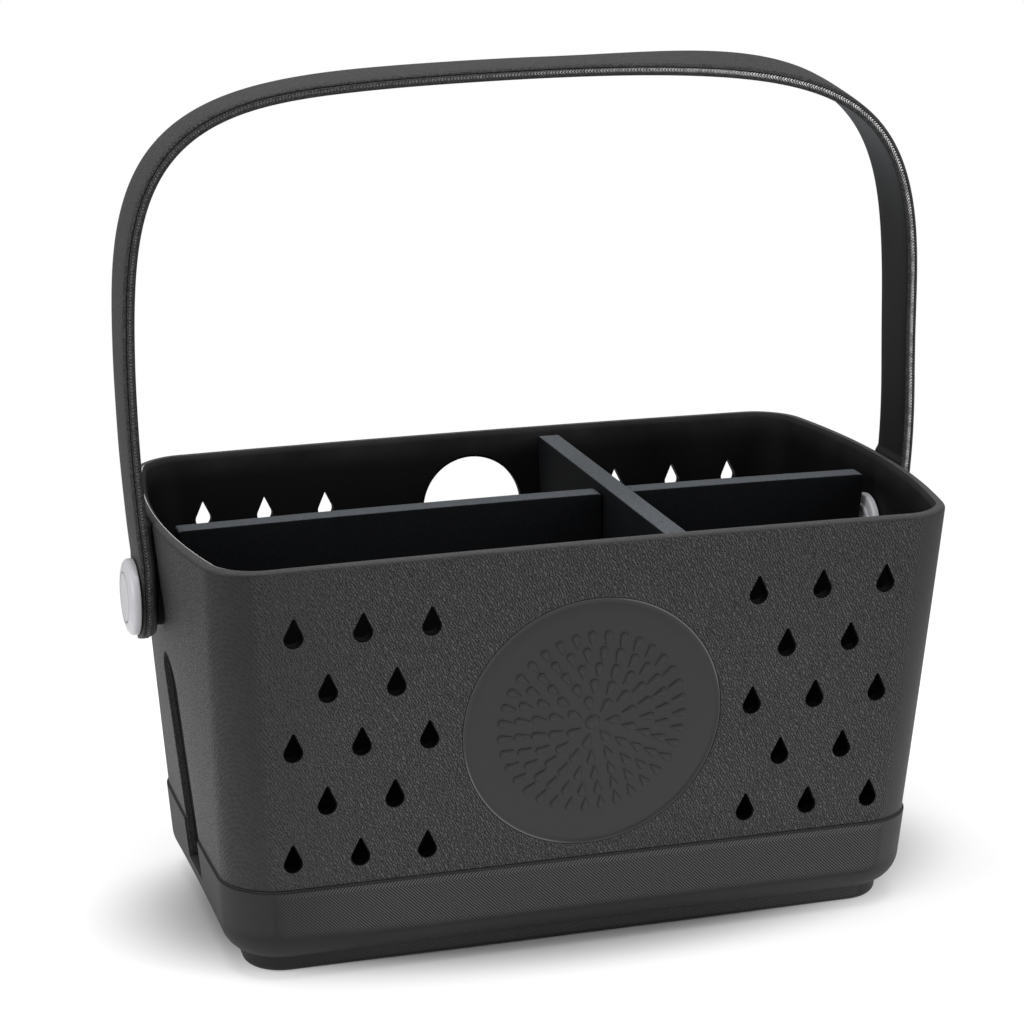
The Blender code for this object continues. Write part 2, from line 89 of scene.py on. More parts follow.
class TubSizes(PropertyGroup):
    """Sizes of the tub. The waist is the level of the parting groove."""

    height: length("Height", "Sole to rim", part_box("tub")[1].z + RIM_FACET)
    rim_length: length("Rim length", "Outside length at the rim, at mid-depth", 0.3552)
    rim_depth: length("Rim depth", "Outside depth at the rim", 0.2080)
    waist_length: length("Waist length", "Outside length at the groove", 0.3238)
    waist_depth: length("Waist depth", "Outside depth at the groove", 0.1724)
    waist_height: length("Waist height", "Height of the groove", 0.0435)
    rim_bow: length("Rim bow", "How far the ends swell at the rim", 0.0130)
    waist_bow: length("Waist bow", "How far the ends swell at the groove", 0.0010)
    rim_corner: length("Rim corner", "Corner radius at the rim", 0.0200)
    waist_corner: length("Waist corner", "Corner radius at the groove", 0.0255)
    crown: length("Rim dip", "How far the rim dips at its ends", 0.0010)
    wall: length("Wall", "Thickness of the wall", 0.0055)
    floor_top: length("Floor", "Height of the floor's top", 0.0120)
    floor_fillet: length("Floor fillet", "Radius between the floor and the wall", 0.0080)
    groove_depth: length("Groove depth", "Depth of the parting groove", 0.0008)
    groove_width: length("Groove width", "Width of the parting groove", 0.0016)
    band_proud: length("Band proud", "How far the base band stands out", 0.0010)
    band_turn: length("Band turn", "Radius at the foot of the base band", 0.0135)
    foot_height: length("Foot height", "Height of the foot", 0.0080)
    foot_inset: length("Foot inset", "How far the foot lies in", 0.0078)
    foot_edge: length("Foot edge", "Radius of the foot's lower edge", 0.0030)
    band_lip: length("Band lip", "Overhang of the band over the foot", 0.0008)


class OpeningSizes(PropertyGroup):
    """Sizes of the vents, the grip hole, the end recess and the pivot seats."""

    vent_radius: length("Vent radius", "Radius of a vent's round end", 0.0039)
    vent_height: length("Vent height", "Tip to round end", 0.0126)
    vent_tip: length("Vent tip", "Radius of a vent's tip", 0.0003)
    vent_lip: length("Vent lip", "Rounding of a vent's edge", 0.0005)
    vent_pitch: length("Vent pitch", "Distance between vents in a row", 0.0300)
    vent_row_pitch: length("Vent row pitch", "Distance between rows", 0.02645)
    vent_end_margin: length("Vent end margin", "From the waist's end to the outer column", 0.0278)
    vent_rim_margin: length("Vent rim margin", "From the rim to the top tips", 0.0234)
    vent_rows: IntProperty(name="Vent rows", description="Rows of vents in a field", default=5)
    grip_diameter: length("Grip hole", "Diameter of the grip hole", 0.0500)
    grip_rim_margin: length("Grip hole margin", "From the rim to the grip hole", 0.0122)
    grip_lip: length("Grip hole lip", "Rounding of the grip hole's edge", 0.0013)
    recess_width: length("Recess width", "Width of the end recess", 0.0300)
    recess_depth: length("Recess depth", "Depth of the end recess", 0.0030)
    recess_top_drop: length("Recess top", "From the pivot down to the recess", 0.0277)
    recess_bottom: length("Recess bottom", "Height of the recess's foot", 0.0240)
    seat_diameter: length("Seat diameter", "Diameter of the pivot seat", 0.0270)
    pivot_drop: length("Pivot drop", "From the rim down to the pivot", 0.0380)
    stem_diameter: length("Stem diameter", "Diameter of a button's stem", 0.0100)
    clearance: length("Clearance", "Gap where pieces rest on each other", 0.0003)
    recess_lip: length("Recess lip", "Rounding of the end recess's edge", 0.0004)
    seat_edge: length("Seat edge", "Rounding of the pivot seat's edge", 0.0004)
    overrun: length("Overrun", "How far a cut runs past the wall", 0.0060)
    bore_reach: length("Bore reach", "Reach of a stem's bore on both sides of the rim's end", 0.0300)


class PanelSizes(PropertyGroup):
    """Sizes of the round front panel and its rosette."""

    diameter: length("Diameter", "Diameter of the panel", 0.1190)
    recess: length("Recess", "How far the panel's bed lies in", 0.0010)
    face_drop: length("Face drop", "How far the panel's face lies in", 0.00075)
    waist_gap: length("Waist gap", "From the groove up to the panel", 0.0062)
    lip: length("Lip", "Rounding of the bed's rim", 0.00025)
    bead: length("Bead", "Height of the raised border", 0.00070)
    bead_width: length("Bead width", "Width of the raised border", 0.0019)
    relief: length("Relief", "Height of the drops", 0.0008)
    boss: length("Boss", "Radius of the boss in the middle", 0.0034)
    gap: length("Gap", "Gap between the panel and its bed's rim", 0.00012)
    sink: length("Sink", "How far the panel's rim is sunk into its bed", 0.0006)
    boss_sink: length("Boss sink", "How far the boss reaches into the panel", 0.0003)
    field_margin: length("Field margin", "From the border in to the flat field", 0.0009)
    field_groove: length("Field groove", "Depth of the fine groove beside the border", 0.00012)
    groove_margin: length("Groove margin", "From the border in to the fine groove", 0.0003)
    field_pole: length("Field pole", "Radius of the flat field's middle face", 0.0004)
    boss_pole: length("Boss pole", "Radius of the boss's middle face", 0.0001)
    bead_skew: number("Border skew", "Power that moves the border's crest outwards", 1.8)
    bead_power: number("Border power", "Power that narrows the border's crest", 1.3)
    crest_share: number("Border crest", "Share of the half border from the crest to the rim", 0.46)


class StrapSizes(PropertyGroup):
    """Sizes of the strap handle. A rise is measured up from the pivot, a share from the left."""

    wall_gap: length("Wall gap", "Gap to the leaning wall at both ends of the leg's lean", 0.0004)
    width: length("Width", "Width of the legs", 0.0285)
    grip_width: length("Grip width", "Width on top", 0.0360)
    thickness: length("Thickness", "Thickness of the strap", 0.0058)
    tab_thickness: length("Tab thickness", "Thickness of the end tabs", 0.0072)
    tab_rise: length("Tab rise", "Where the thick tab ends", 0.0350)
    tab_ramp: length("Tab ramp", "Length of the step off the tab", 0.0040)
    tab_drop: length("Tab drop", "Tab's reach below the pivot", 0.0195)
    flat_rise: length("Flat rise", "Where the leg starts to lean", 0.0175)
    rise: length("Rise", "Top of the strap", 0.2302)
    spring_rise: length("Spring rise", "Where the arch starts", 0.0755)
    squareness: number("Squareness", "Exponent of the arch's superellipse", 4.2)
    lean: length("Lean", "How far the soft strap leans to the left", 0.0013)
    lean_rise: length("Lean rise", "Where the whole lean is reached", 0.1090)
    sag: length("Sag", "How far the soft strap sags left of the middle", 0.0015)
    sag_place: number("Sag place", "Share of the strap's run where it sags", 0.380)
    sag_reach: number("Sag reach", "Share of the run on each side of the sag", 0.133)
    twist: angle("Twist", "Turn of the soft strap at its right shoulder", 7.2)
    twist_place: number("Twist place", "Share of the run where the strap turns", 0.666)
    twist_reach: number("Twist reach", "Share of the run on each side of the turn", 0.146)
    back_twist: angle("Back twist", "Turn the other way at the left shoulder", -2.6)
    back_place: number("Back twist place", "Share of the run where it turns back", 0.302)
    back_reach: number("Back twist reach", "Share of the run on each side of it", 0.105)
    edge: length("Edge", "Rounding of the outer edges", 0.0015)
    inner_edge: length("Inner edge", "Rounding of the inner edges", 0.0013)
    crown: length("Crown", "How far the outer face is crowned", 0.0003)
    bead_width: length("Bead width", "Width of the knurled bead", 0.0022)
    bead: length("Bead", "Height of the knurled bead", 0.00034)
    seam: length("Seam", "Width and depth of the seam's groove", 0.00024)
    knurl_pitch: length("Knurl pitch", "Length of one knurl", 0.00145)
    station_pitch: length("Station pitch", "Distance between sections along the strap", 0.0004)
    full_half: length("Full half", "Half width from which the edges have their full size", 0.0030)
    draw: number("Draw", "Share of the thickness that the tab's round end loses inside", 0.45)
    draw_from: number("Draw from", "Share of the tab's drop where that starts", 0.72)


class ButtonSizes(PropertyGroup):
    """Sizes of the buttons and inner caps."""

    diameter: length("Diameter", "Diameter of a button", 0.0345)
    height: length("Height", "Height of a button's head", 0.0051)
    edge: length("Edge", "Rounding of a button's rim", 0.0026)
    ring_diameter: length("Ring diameter", "Diameter of the fine ring groove", 0.0225)
    ring_width: length("Ring width", "Width of the fine ring groove", 0.0007)
    dish: length("Dish", "How far the middle is dished", 0.0005)
    cap_diameter: length("Cap diameter", "Diameter of an inner cap", 0.0370)
    cap_thickness: length("Cap thickness", "Thickness of an inner cap", 0.0032)
    cap_ring_diameter: length("Cap ring diameter", "Diameter of a cap's ring", 0.0240)
    cap_ring_width: length("Cap ring width", "Width of a cap's ring", 0.0030)
    cap_ring_height: length("Cap ring height", "Height of a cap's ring", 0.0005)
    under_edge: length("Under edge", "Rounding of the head's underside", 0.0007)
    shoulder: length("Shoulder", "From the head's top down to its shoulder", 0.0007)
    face_drop: length("Face drop", "How far the face lies under the head's height", 0.0001)
    ring_lip: length("Ring lip", "How far the ring groove's edges lie under the face", 0.00005)
    ring_depth: length("Ring depth", "Depth of the fine ring groove", 0.0004)
    stem_edge: length("Stem edge", "Rounding of the stem's end", 0.0006)
    cap_edge: length("Cap edge", "Rounding of a cap's rim", 0.0012)
    cap_back_edge: length("Cap back edge", "Rounding of a cap's back", 0.0003)
    cap_socket: length("Cap socket", "Depth of the blind socket in a cap's back", 0.0020)
    cap_dish: length("Cap dish", "How far a cap's middle is dished", 0.0003)
    cap_dish_rim: length("Cap dish rim", "How far the dish is sunk at its edge", 0.0002)
    cap_dish_radius: length("Cap dish radius", "Radius of a cap's dish", 0.0060)


class BoardSizes(PropertyGroup):
    """Sizes of the two dividers."""

    thickness: length("Thickness", "Thickness of a board", 0.0105)
    edge: length("Edge", "Rounding of a board's edges", 0.0009)
    corner: length("Corner", "Rounding of a board's corners", 0.0026)
    cross_x: length("Cross place", "Where the cross board stands", 0.0395)
    cross_drop: length("Cross drop", "From the rim to the cross board's top", 0.0038)
    long_drop: length("Long drop", "From the rim to the long board's top", 0.0070)
    long_crown: length("Long crown", "Crown of the long board's top", 0.0012)
    long_end_gap: length("Long end gap", "From the long board to the end wall", 0.0066)
    slide_gap: length("Slide gap", "Gap where the boards slide", 0.0005)


class Finishes(PropertyGroup):
    """Colours of the finishes, and the sizes and places of their grain.

    A tooth or a pit is the finest grain, a cloud the broadest one.
    """

    foam: colour("Foam", "Outside of the tub", (0.0140, 0.0140, 0.0146))
    # Tone of the raised grain, and also the painted highlight on the rim, on the panel's border and
    # inside under the rim.
    foam_grain_and_highlight: colour("Foam grain", "Raised grain of the tub", (0.115, 0.115, 0.116))
    # Rib and rib groove: painted highlight on the crests of the band's ribs and painted shade in
    # their grooves.
    rib: colour("Rib", "Crest of a rib of the base band", (0.112, 0.112, 0.113))
    rib_groove_shade: colour("Rib groove", "Between the ribs of the base band", (0.0060, 0.0060, 0.0062))
    # Inside: painted shade, far darker than the outside foam; the cuts use it too.
    inner: colour("Inside", "Inside of the tub", (0.0014, 0.0014, 0.0017))
    strap: colour("Strap", "Strap handle", (0.0066, 0.0066, 0.0067))
    # White of the painted highlights on the knurl and the rim, and a little of the strap grain's
    # light tone.
    glint_and_grain_white: colour("Strap knurl", "Bright crests of the knurl", (0.95, 0.95, 0.96))
    strap_inside: colour("Strap inside", "Smooth inner face of the strap", (0.0016, 0.0019, 0.0029))
    seam: colour("Strap seam", "Groove beside the knurl", (0.001, 0.001, 0.001))
    board: colour("Boards", "Dividers", (0.0018, 0.0022, 0.0030))
    # Tone of the boards' fibres, and also the painted light on the boards' tops and on the strap's
    # inside.
    fibre_and_painted_light: colour("Board dust", "Lighter fibres of the dividers", (0.110, 0.119, 0.130))
    plastic: colour("Buttons", "Buttons and inner caps", (0.60, 0.60, 0.63))
    plastic_line: colour("Button ring", "Fine ring on a button", (0.075, 0.075, 0.085))
    floor: colour("Floor", "Plain floor", (0.62, 0.62, 0.62))
    paper: colour("Paper tooth", "Lighter tooth of the floor", (0.8, 0.8, 0.8))
    hatch_pitch: length("Hatch pitch", "Distance between the strokes of the hide grain", 0.00128)
    hatch_slant: number("Hatch slant", "Shift of a stroke over its height", 0.65)
    hatch_break: length("Hatch break", "Size of the noise that breaks the strokes up", 0.0015)
    hatch_throw: number("Hatch throw", "Radians that the noise throws the phase by", 13.0)
    pit: length("Pit", "Size of the pits among the strokes", 0.0007)
    hide_cloud: length("Hide cloud", "Size of the walls' clouds", 0.0300)
    hide_depth: length("Hide depth", "Depth of the hide grain", 0.0007)
    # left_end, lively_from and ribs_from also place the painted shade that darkens the left end of
    # the walls and the band.
    left_end: length("Left end", "Where the grain of the left end is faintest", -0.1500)
    glint_end: length("Glint end", "Where the rim's thin glint has faded out", -0.1400)
    lively_from: length("Lively from", "Where the wall's grain has its full strength", -0.0850)
    ribs_from: length("Ribs from", "Where the band's ribs have their full strength", -0.0600)
    panel_tooth: length("Panel tooth", "Size of the panel's tooth", 0.0007)
    panel_cloud: length("Panel cloud", "Size of the panel's clouds", 0.0180)
    panel_depth: length("Panel depth", "Depth of the panel's tooth", 0.00008)
    rib_pitch: length("Rib pitch", "Distance between the ribs of the base band", 0.00148)
    rib_depth: length("Rib depth", "Depth of the ribs", 0.00045)
    rib_tooth: length("Rib tooth", "Size of the base band's tooth", 0.0009)
    tick_slant: number("Tick slant", "Shift of a tick over its height", -0.8)
    tick_strip: length("Tick strip", "Width of the strip of ticks under the groove", 0.0035)
    tick_fade: length("Tick fade", "Width over which the ticks fade in", 0.0003)
    foot_fade: length("Foot fade", "Height where the foot's ticks start to fade", 0.0078)
    foot_end: length("Foot end", "Height where they have faded out", 0.0090)
    turn_start: length("Turn start", "Height where the band's smooth turn starts", 0.0085)
    turn_full: length("Turn full", "Height where it is all smooth", 0.0095)
    turn_fade: length("Turn fade", "Height where the ribs start again", 0.0170)
    turn_end: length("Turn end", "Height where the ribs are whole", 0.0245)
    inner_tooth: length("Inner tooth", "Size of the inside's tooth", 0.0010)
    inner_cloud: length("Inner cloud", "Size of the inside's clouds", 0.0200)
    inner_depth: length("Inner depth", "Depth of the inside's grain", 0.00012)
    # Where the painted sheen under the rim starts and where it is full.
    sheen_reach: length("Bloom reach", "From the rim down to where the bloom starts", 0.0145)
    sheen_full: length("Bloom full", "From the rim down to the full bloom", 0.0010)
    cut_tooth: length("Cut tooth", "Size of the tooth in the cuts", 0.0008)
    cut_depth: length("Cut depth", "Depth of the tooth in the cuts", 0.0001)
    strap_tooth: length("Strap tooth", "Size of the strap's grain", 0.0009)
    strap_cloud: length("Strap cloud", "Size of the strap's clouds", 0.0250)
    strap_patch: length("Strap patch", "Size of the patches along the knurl", 0.0026)
    strap_depth: length("Strap depth", "Depth of the strap's grain and knurl", 0.00025)
    board_tooth: length("Board tooth", "Size of the boards' fibres", 0.0008)
    board_cloud: length("Board cloud", "Size of the boards' clouds", 0.0120)
    board_depth: length("Board depth", "Depth of the boards' fibres", 0.00018)
    plastic_tooth: length("Plastic tooth", "Size of the plastic's tooth", 0.0012)
    plastic_cloud: length("Plastic cloud", "Size of the plastic's mottle", 0.0060)
    plastic_depth: length("Plastic depth", "Depth of the plastic's tooth", 0.00004)
    line_from: length("Line from", "Distance from the middle where the ring's line fades in", 0.1750)
    line_full: length("Line full", "Distance from the middle where it is whole", 0.1780)
    paper_tooth: length("Paper tooth", "Size of the floor's tooth", 0.0040)
    shade_length: length("Shade length", "Half length of the shaded floor", 0.1650)
    shade_depth: length("Shade depth", "Half depth of the shaded floor", 0.0850)
    paper_fade: length("Paper fade", "Where the floor starts to fade out", 0.3000)
    paper_end: length("Paper end", "Where the floor has faded out", 0.7200)


class StudioSettings(PropertyGroup):
    """Camera and lights."""

    camera_x: length("Camera X", "Camera's place along X", -0.38153)
    camera_y: length("Camera Y", "Camera's place along Y", -1.24332)
    camera_z: length("Camera Z", "Camera's height", 0.53958)
    azimuth: angle("Azimuth", "Turn of the view from +Y towards +X", 16.7044)
    elevation: angle("Elevation", "Rise of the view", -15.4550)
    roll: angle("Roll", "Roll of the view", -0.28659)
    lens: number("Lens", "Focal length in millimetres on a 36 mm frame", 103.01)
    surround: number("Surround", "Strength of the light from all round", 0.45)
    backdrop: number("Backdrop", "Brightness of the white backdrop", 1.0)
    left_softbox: number("Left light", "Watts of the left softbox", 8.2)
    top_softbox: number("Top light", "Watts of the top softbox", 13.0)
    right_strip: number("Right light", "Watts of the right strip", 5.0)
    floor_reach: length("Floor reach", "Half the floor's side", 2.2000)
    floor_drop: length("Floor drop", "How far the floor lies under the sole", 0.0002)
    near_clip: length("Near clip", "Nearest that the camera sees", 0.0500)


class Signal:
    """A value in a node tree. Arithmetic on it adds Math nodes."""

    def __init__(self, finish, socket):
        self.finish = finish
        self.socket = socket

    def compute(self, operation, *values):
        return self.finish.node("ShaderNodeMath", {"operation": operation}, dict(enumerate(values)))

    def __add__(self, other):
        return self.compute("ADD", self, other)

    def __radd__(self, other):
        return self.compute("ADD", other, self)

    def __sub__(self, other):
        return self.compute("SUBTRACT", self, other)

    def __rsub__(self, other):
        return self.compute("SUBTRACT", other, self)

    def __mul__(self, other):
        return self.compute("MULTIPLY", self, other)

    def __rmul__(self, other):
        return self.compute("MULTIPLY", other, self)

    def __truediv__(self, other):
        return self.compute("DIVIDE", self, other)

    def __rtruediv__(self, other):
        return self.compute("DIVIDE", other, self)

    def __neg__(self):
        return self.compute("MULTIPLY", self, -1.0)

    def __abs__(self):
        return self.compute("ABSOLUTE", self)

    def sine(self):
        return self.compute("SINE", self)

    def root(self):
        return self.compute("SQRT", self)

    def at_least(self, other):
        return self.compute("MAXIMUM", self, other)

    def between(self, low, high):
        """0 below low, 1 above high, and a smooth step from one to the other."""
        return self.finish.node("ShaderNodeMapRange", {"interpolation_type": "SMOOTHSTEP"},
                                {"Value": self, "From Min": low, "From Max": high})


class Finish:
    """A material and the nodes that work out its varying inputs."""

    def __init__(self, name, roughness, specular, coat=0.0, coat_roughness=0.1):
        self.material = bpy.data.materials.new(name)
        self.material.use_nodes = True
        self.tree = self.material.node_tree
        self.shader = self.tree.nodes["Principled BSDF"]
        for key, value in (("Roughness", roughness), ("Specular IOR Level", specular),
                           ("Coat Weight", coat), ("Coat Roughness", coat_roughness)):
            self.shader.inputs[key].default_value = value
        self.place = self.node("ShaderNodeTexCoord", {}, {}, "Object")
        axes = self.node("ShaderNodeSeparateXYZ", {}, {"Vector": self.place}, None)
        self.x, self.y, self.z = (Signal(self, axes.outputs[k]) for k in "XYZ")
        facing = self.node("ShaderNodeNewGeometry", {}, {}, "Normal")
        axes = self.node("ShaderNodeSeparateXYZ", {}, {"Vector": facing}, None)
        self.facing_x, self.facing_y, self.facing_z = (Signal(self, axes.outputs[k]) for k in "XYZ")

    def node(self, kind, settings, inputs, output=0):
        """Adds a node: its settings first, then its inputs as values or links."""
        made = self.tree.nodes.new(kind)
        for key, value in settings.items():
            setattr(made, key, value)
        for key, value in inputs.items():
            if isinstance(value, Signal):
                self.tree.links.new(value.socket, made.inputs[key])
            else:
                made.inputs[key].default_value = value
        return made if output is None else Signal(self, made.outputs[output])

    def noise(self, size, detail, roughness=0.5):
        """Cloudy pattern from 0 to 1 with features of about that size."""
        return self.node("ShaderNodeTexNoise", {}, {"Vector": self.place, "Scale": 1 / size,
                         "Detail": detail, "Roughness": roughness}, "Fac")

    def blend(self, factor, first, second):
        """Mix of two colours, each three numbers or a Signal."""
        first, second = (c if isinstance(c, Signal) else (*c, 1.0) for c in (first, second))
        made = self.node("ShaderNodeMix", {"data_type": "RGBA"},
                         {"Factor": factor, 6: first, 7: second}, None)
        return Signal(self, made.outputs[2])

    def bump(self, height, depth, strength):
        """Normal raised by a height from 0 to 1, which stands for that depth."""
        return self.node("ShaderNodeBump", {}, {"Height": height, "Distance": depth,
                         "Strength": strength}, "Normal")

    def set(self, **inputs):
        """Links what varies to the shader's sockets, and gives the material."""
        for key, value in inputs.items():
            socket = self.shader.inputs[key.replace("_", " ")]
            self.tree.links.new(value.socket, socket)
        return self.material


def flat_mask(finish):
    """1 on the flat walls and 0 round the upright corners."""
    return abs(finish.facing_x).at_least(abs(finish.facing_y)).between(0.90, 0.985)


def painted_rim_glint(foam, finishes):
    """1 on a thin line of the rounded rim that faces inwards at the left end, where a highlight is
    painted.
    """
    inward = (foam.facing_x + foam.facing_y).between(0.10, 0.20)
    line = foam.facing_z.between(0.895, 0.915) * (1 - foam.facing_z.between(0.950, 0.972))
    return inward * line * (1 - foam.x.between(finishes.left_end, finishes.glint_end))


def pebbled_foam(finishes):
    """Foam with a fine hide grain that smooths out at the corners and the left end.

    The grain is a fine steep hatch, the sine of x + y + slant z with its phase thrown
    about by a noise so that each stroke is only a few widths long, mixed with pits. The
    tone also holds painted light and shade: the upward rim is painted lighter, and the rounded
    upright corners and the left end are painted darker against the light that falls on them.
    """
    foam = Finish("pebbled_foam", roughness=0.58, specular=0.32)
    across = foam.x + foam.y + foam.z * finishes.hatch_slant
    thrown = foam.noise(finishes.hatch_break, 1.0) * finishes.hatch_throw
    creases = (across * (math.tau / finishes.hatch_pitch) + thrown).sine() * 0.5 + 0.5
    grain = creases * 0.62 + foam.noise(finishes.pit, 1.0) * 0.38
    raised = grain.between(0.30, 0.70)
    flat = flat_mask(foam)
    lively_unshaded = foam.x.between(finishes.left_end, finishes.lively_from)
    calm = flat * (0.34 + lively_unshaded * 0.66)
    cloud = foam.noise(finishes.hide_cloud, 3.0).between(0.3, 0.7)
    lip = foam.facing_z.between(0.25, 0.85)
    # Painted shade and light: flat and lively_unshaded darken the rounded corners and the left end
    # against the light on them, and lip paints the upward rim lighter.
    shade = 0.015 + flat * 0.08 + lively_unshaded * 0.105 + cloud * 0.03 + lip * 0.36
    base = foam.blend(shade + (raised - 0.5) * (calm * 0.70 + lip * 0.25 + 0.04),
                      finishes.foam, finishes.foam_grain_and_highlight)
    # Painted highlight: a thin white glint along the rim's inward rounding at the left end.
    base = foam.blend(painted_rim_glint(foam, finishes) * 0.75, base, finishes.glint_and_grain_white)
    return foam.set(Base_Color=base, Roughness=0.50 + (1 - raised) * 0.14,
                    Normal=foam.bump(grain * (calm + lip * 0.4), finishes.hide_depth, 0.9))


def panel_foam(finishes, middle, border, width):
    """The same foam, pressed smooth on the round panel, with a faint mottle.

    The crest of the border carries a painted highlight at the upper right and the lower
    left, where across times up is large. The distance from the panel's middle is the root
    of the squares of x, y and z added up, each measured from that middle.
    """
    foam = Finish("panel_foam", roughness=0.5, specular=0.42)
    fine = foam.noise(finishes.panel_tooth, 3.0)
    cloud = foam.noise(finishes.panel_cloud, 4.0).between(0.25, 0.75)
    over_y, over_z = foam.y - middle[1], foam.z - middle[2]
    away = (foam.x * foam.x + over_y * over_y + over_z * over_z).root()
    # Painted highlight on the border's crest, at the upper right and the lower left.
    painted_highlight = 1 - abs(away - border).between(width * 0.05, width * 0.30)
    highlight_arcs = (foam.x * over_z * (2 / border ** 2)).between(0.15, 0.85)
    base = foam.blend(0.015 + cloud * 0.04 + fine * 0.04 + painted_highlight * (0.22 + highlight_arcs * 1.3),
                      finishes.foam, finishes.foam_grain_and_highlight)
    return foam.set(Base_Color=base, Roughness=0.46 + cloud * 0.08,
                    Normal=foam.bump(fine, finishes.panel_depth, 0.35))


def ribbed_foam(finishes, tub):
    """Base band and foot: fine slanting ribs on the flats and a strip of ticks on top.

    A rib is the sine of the distance across it, taken along X on the long walls and
    along Y on the end walls. Under the groove and on the foot the slant turns over.
    """
    foam = Finish("ribbed_foam", roughness=0.6, specular=0.34)
    long_wall = abs(foam.facing_y).between(0.93, 0.99)
    end_wall = abs(foam.facing_x).between(0.94, 0.99)
    flats = long_wall.at_least(end_wall)

    def slanted(slant):
        rise = foam.z * slant
        on_long, on_end = (((along + rise) * (math.tau / finishes.rib_pitch)).sine()
                           for along in (foam.x, foam.y))
        return on_long * long_wall + on_end * end_wall

    strip_foot = tub.waist_height - finishes.tick_strip
    strip = foam.z.between(strip_foot, strip_foot + finishes.tick_fade)
    foot = 1 - foam.z.between(finishes.foot_fade, finishes.foot_end)
    over = strip.at_least(foot)
    turn = foam.z.between(finishes.turn_start, finishes.turn_full) \
        * (1 - foam.z.between(finishes.turn_fade, finishes.turn_end))
    lively_unshaded = foam.x.between(finishes.left_end, finishes.ribs_from)
    calm = (1 - turn) * (0.25 + lively_unshaded * 0.75)
    ticks = slanted(finishes.tick_slant) * over * (1 - foot * 0.40)
    height = (slanted(1.0) * (1 - over) + ticks) * calm * 0.5 + 0.5
    fine = foam.noise(finishes.rib_tooth, 3.0)
    crest = (height.between(0.22, 0.88) - 0.5) * flats
    # Painted shade: the foot under the band, the band's lower turn and the left end are darker.
    shade = 0.06 + lively_unshaded * 0.17 + strip * flats * 0.07 - foot * 0.16 - turn * 0.15
    # Painted highlight and shade on the ribs: crests lighter, grooves darker.
    base = foam.blend(shade + crest * (1.25 + strip * 0.5) + (fine - 0.5) * 0.06,
                      finishes.rib_groove_shade, finishes.rib)
    return foam.set(Base_Color=base, Roughness=0.54 + fine * 0.12,
                    Normal=foam.bump(height + fine * 0.10, finishes.rib_depth, 0.9))


def inner_foam(finishes, tub):
    """Matt inside painted near black as painted shade, with a soft painted sheen just under the rim.
    """
    foam = Finish("inner_foam", roughness=0.62, specular=0.11)
    fine = foam.noise(finishes.inner_tooth, 3.0)
    streaks = foam.noise(finishes.inner_cloud, 4.0)
    painted_rim_sheen = foam.z.between(tub.height - finishes.sheen_reach, tub.height - finishes.sheen_full)
    # Painted shade and sheen: the inside is far darker than the outside foam, and lighter just under
    # the rim.
    base = foam.blend(streaks * 0.015 + fine * 0.02 + painted_rim_sheen * 0.24 * streaks,
                      finishes.inner, finishes.foam_grain_and_highlight)
    return foam.set(Base_Color=base, Roughness=0.52 + streaks * 0.2,
                    Normal=foam.bump(fine + streaks * 0.5, finishes.inner_depth, 0.5))


def cut_foam(finishes):
    """Walls of the vents and holes, the end recess's floor and the pivot seats: dark foam as painted
    shade.
    """
    foam = Finish("cut_foam", roughness=0.7, specular=0.07)
    fine = foam.noise(finishes.cut_tooth, 3.0)
    # Painted shade: close to the inside's dark colour, far darker than the outside foam.
    base = foam.blend(fine * 0.06, finishes.inner, finishes.foam)
    return foam.set(Base_Color=base, Roughness=0.62 + fine * 0.12,
                    Normal=foam.bump(fine, finishes.cut_depth, 0.5))


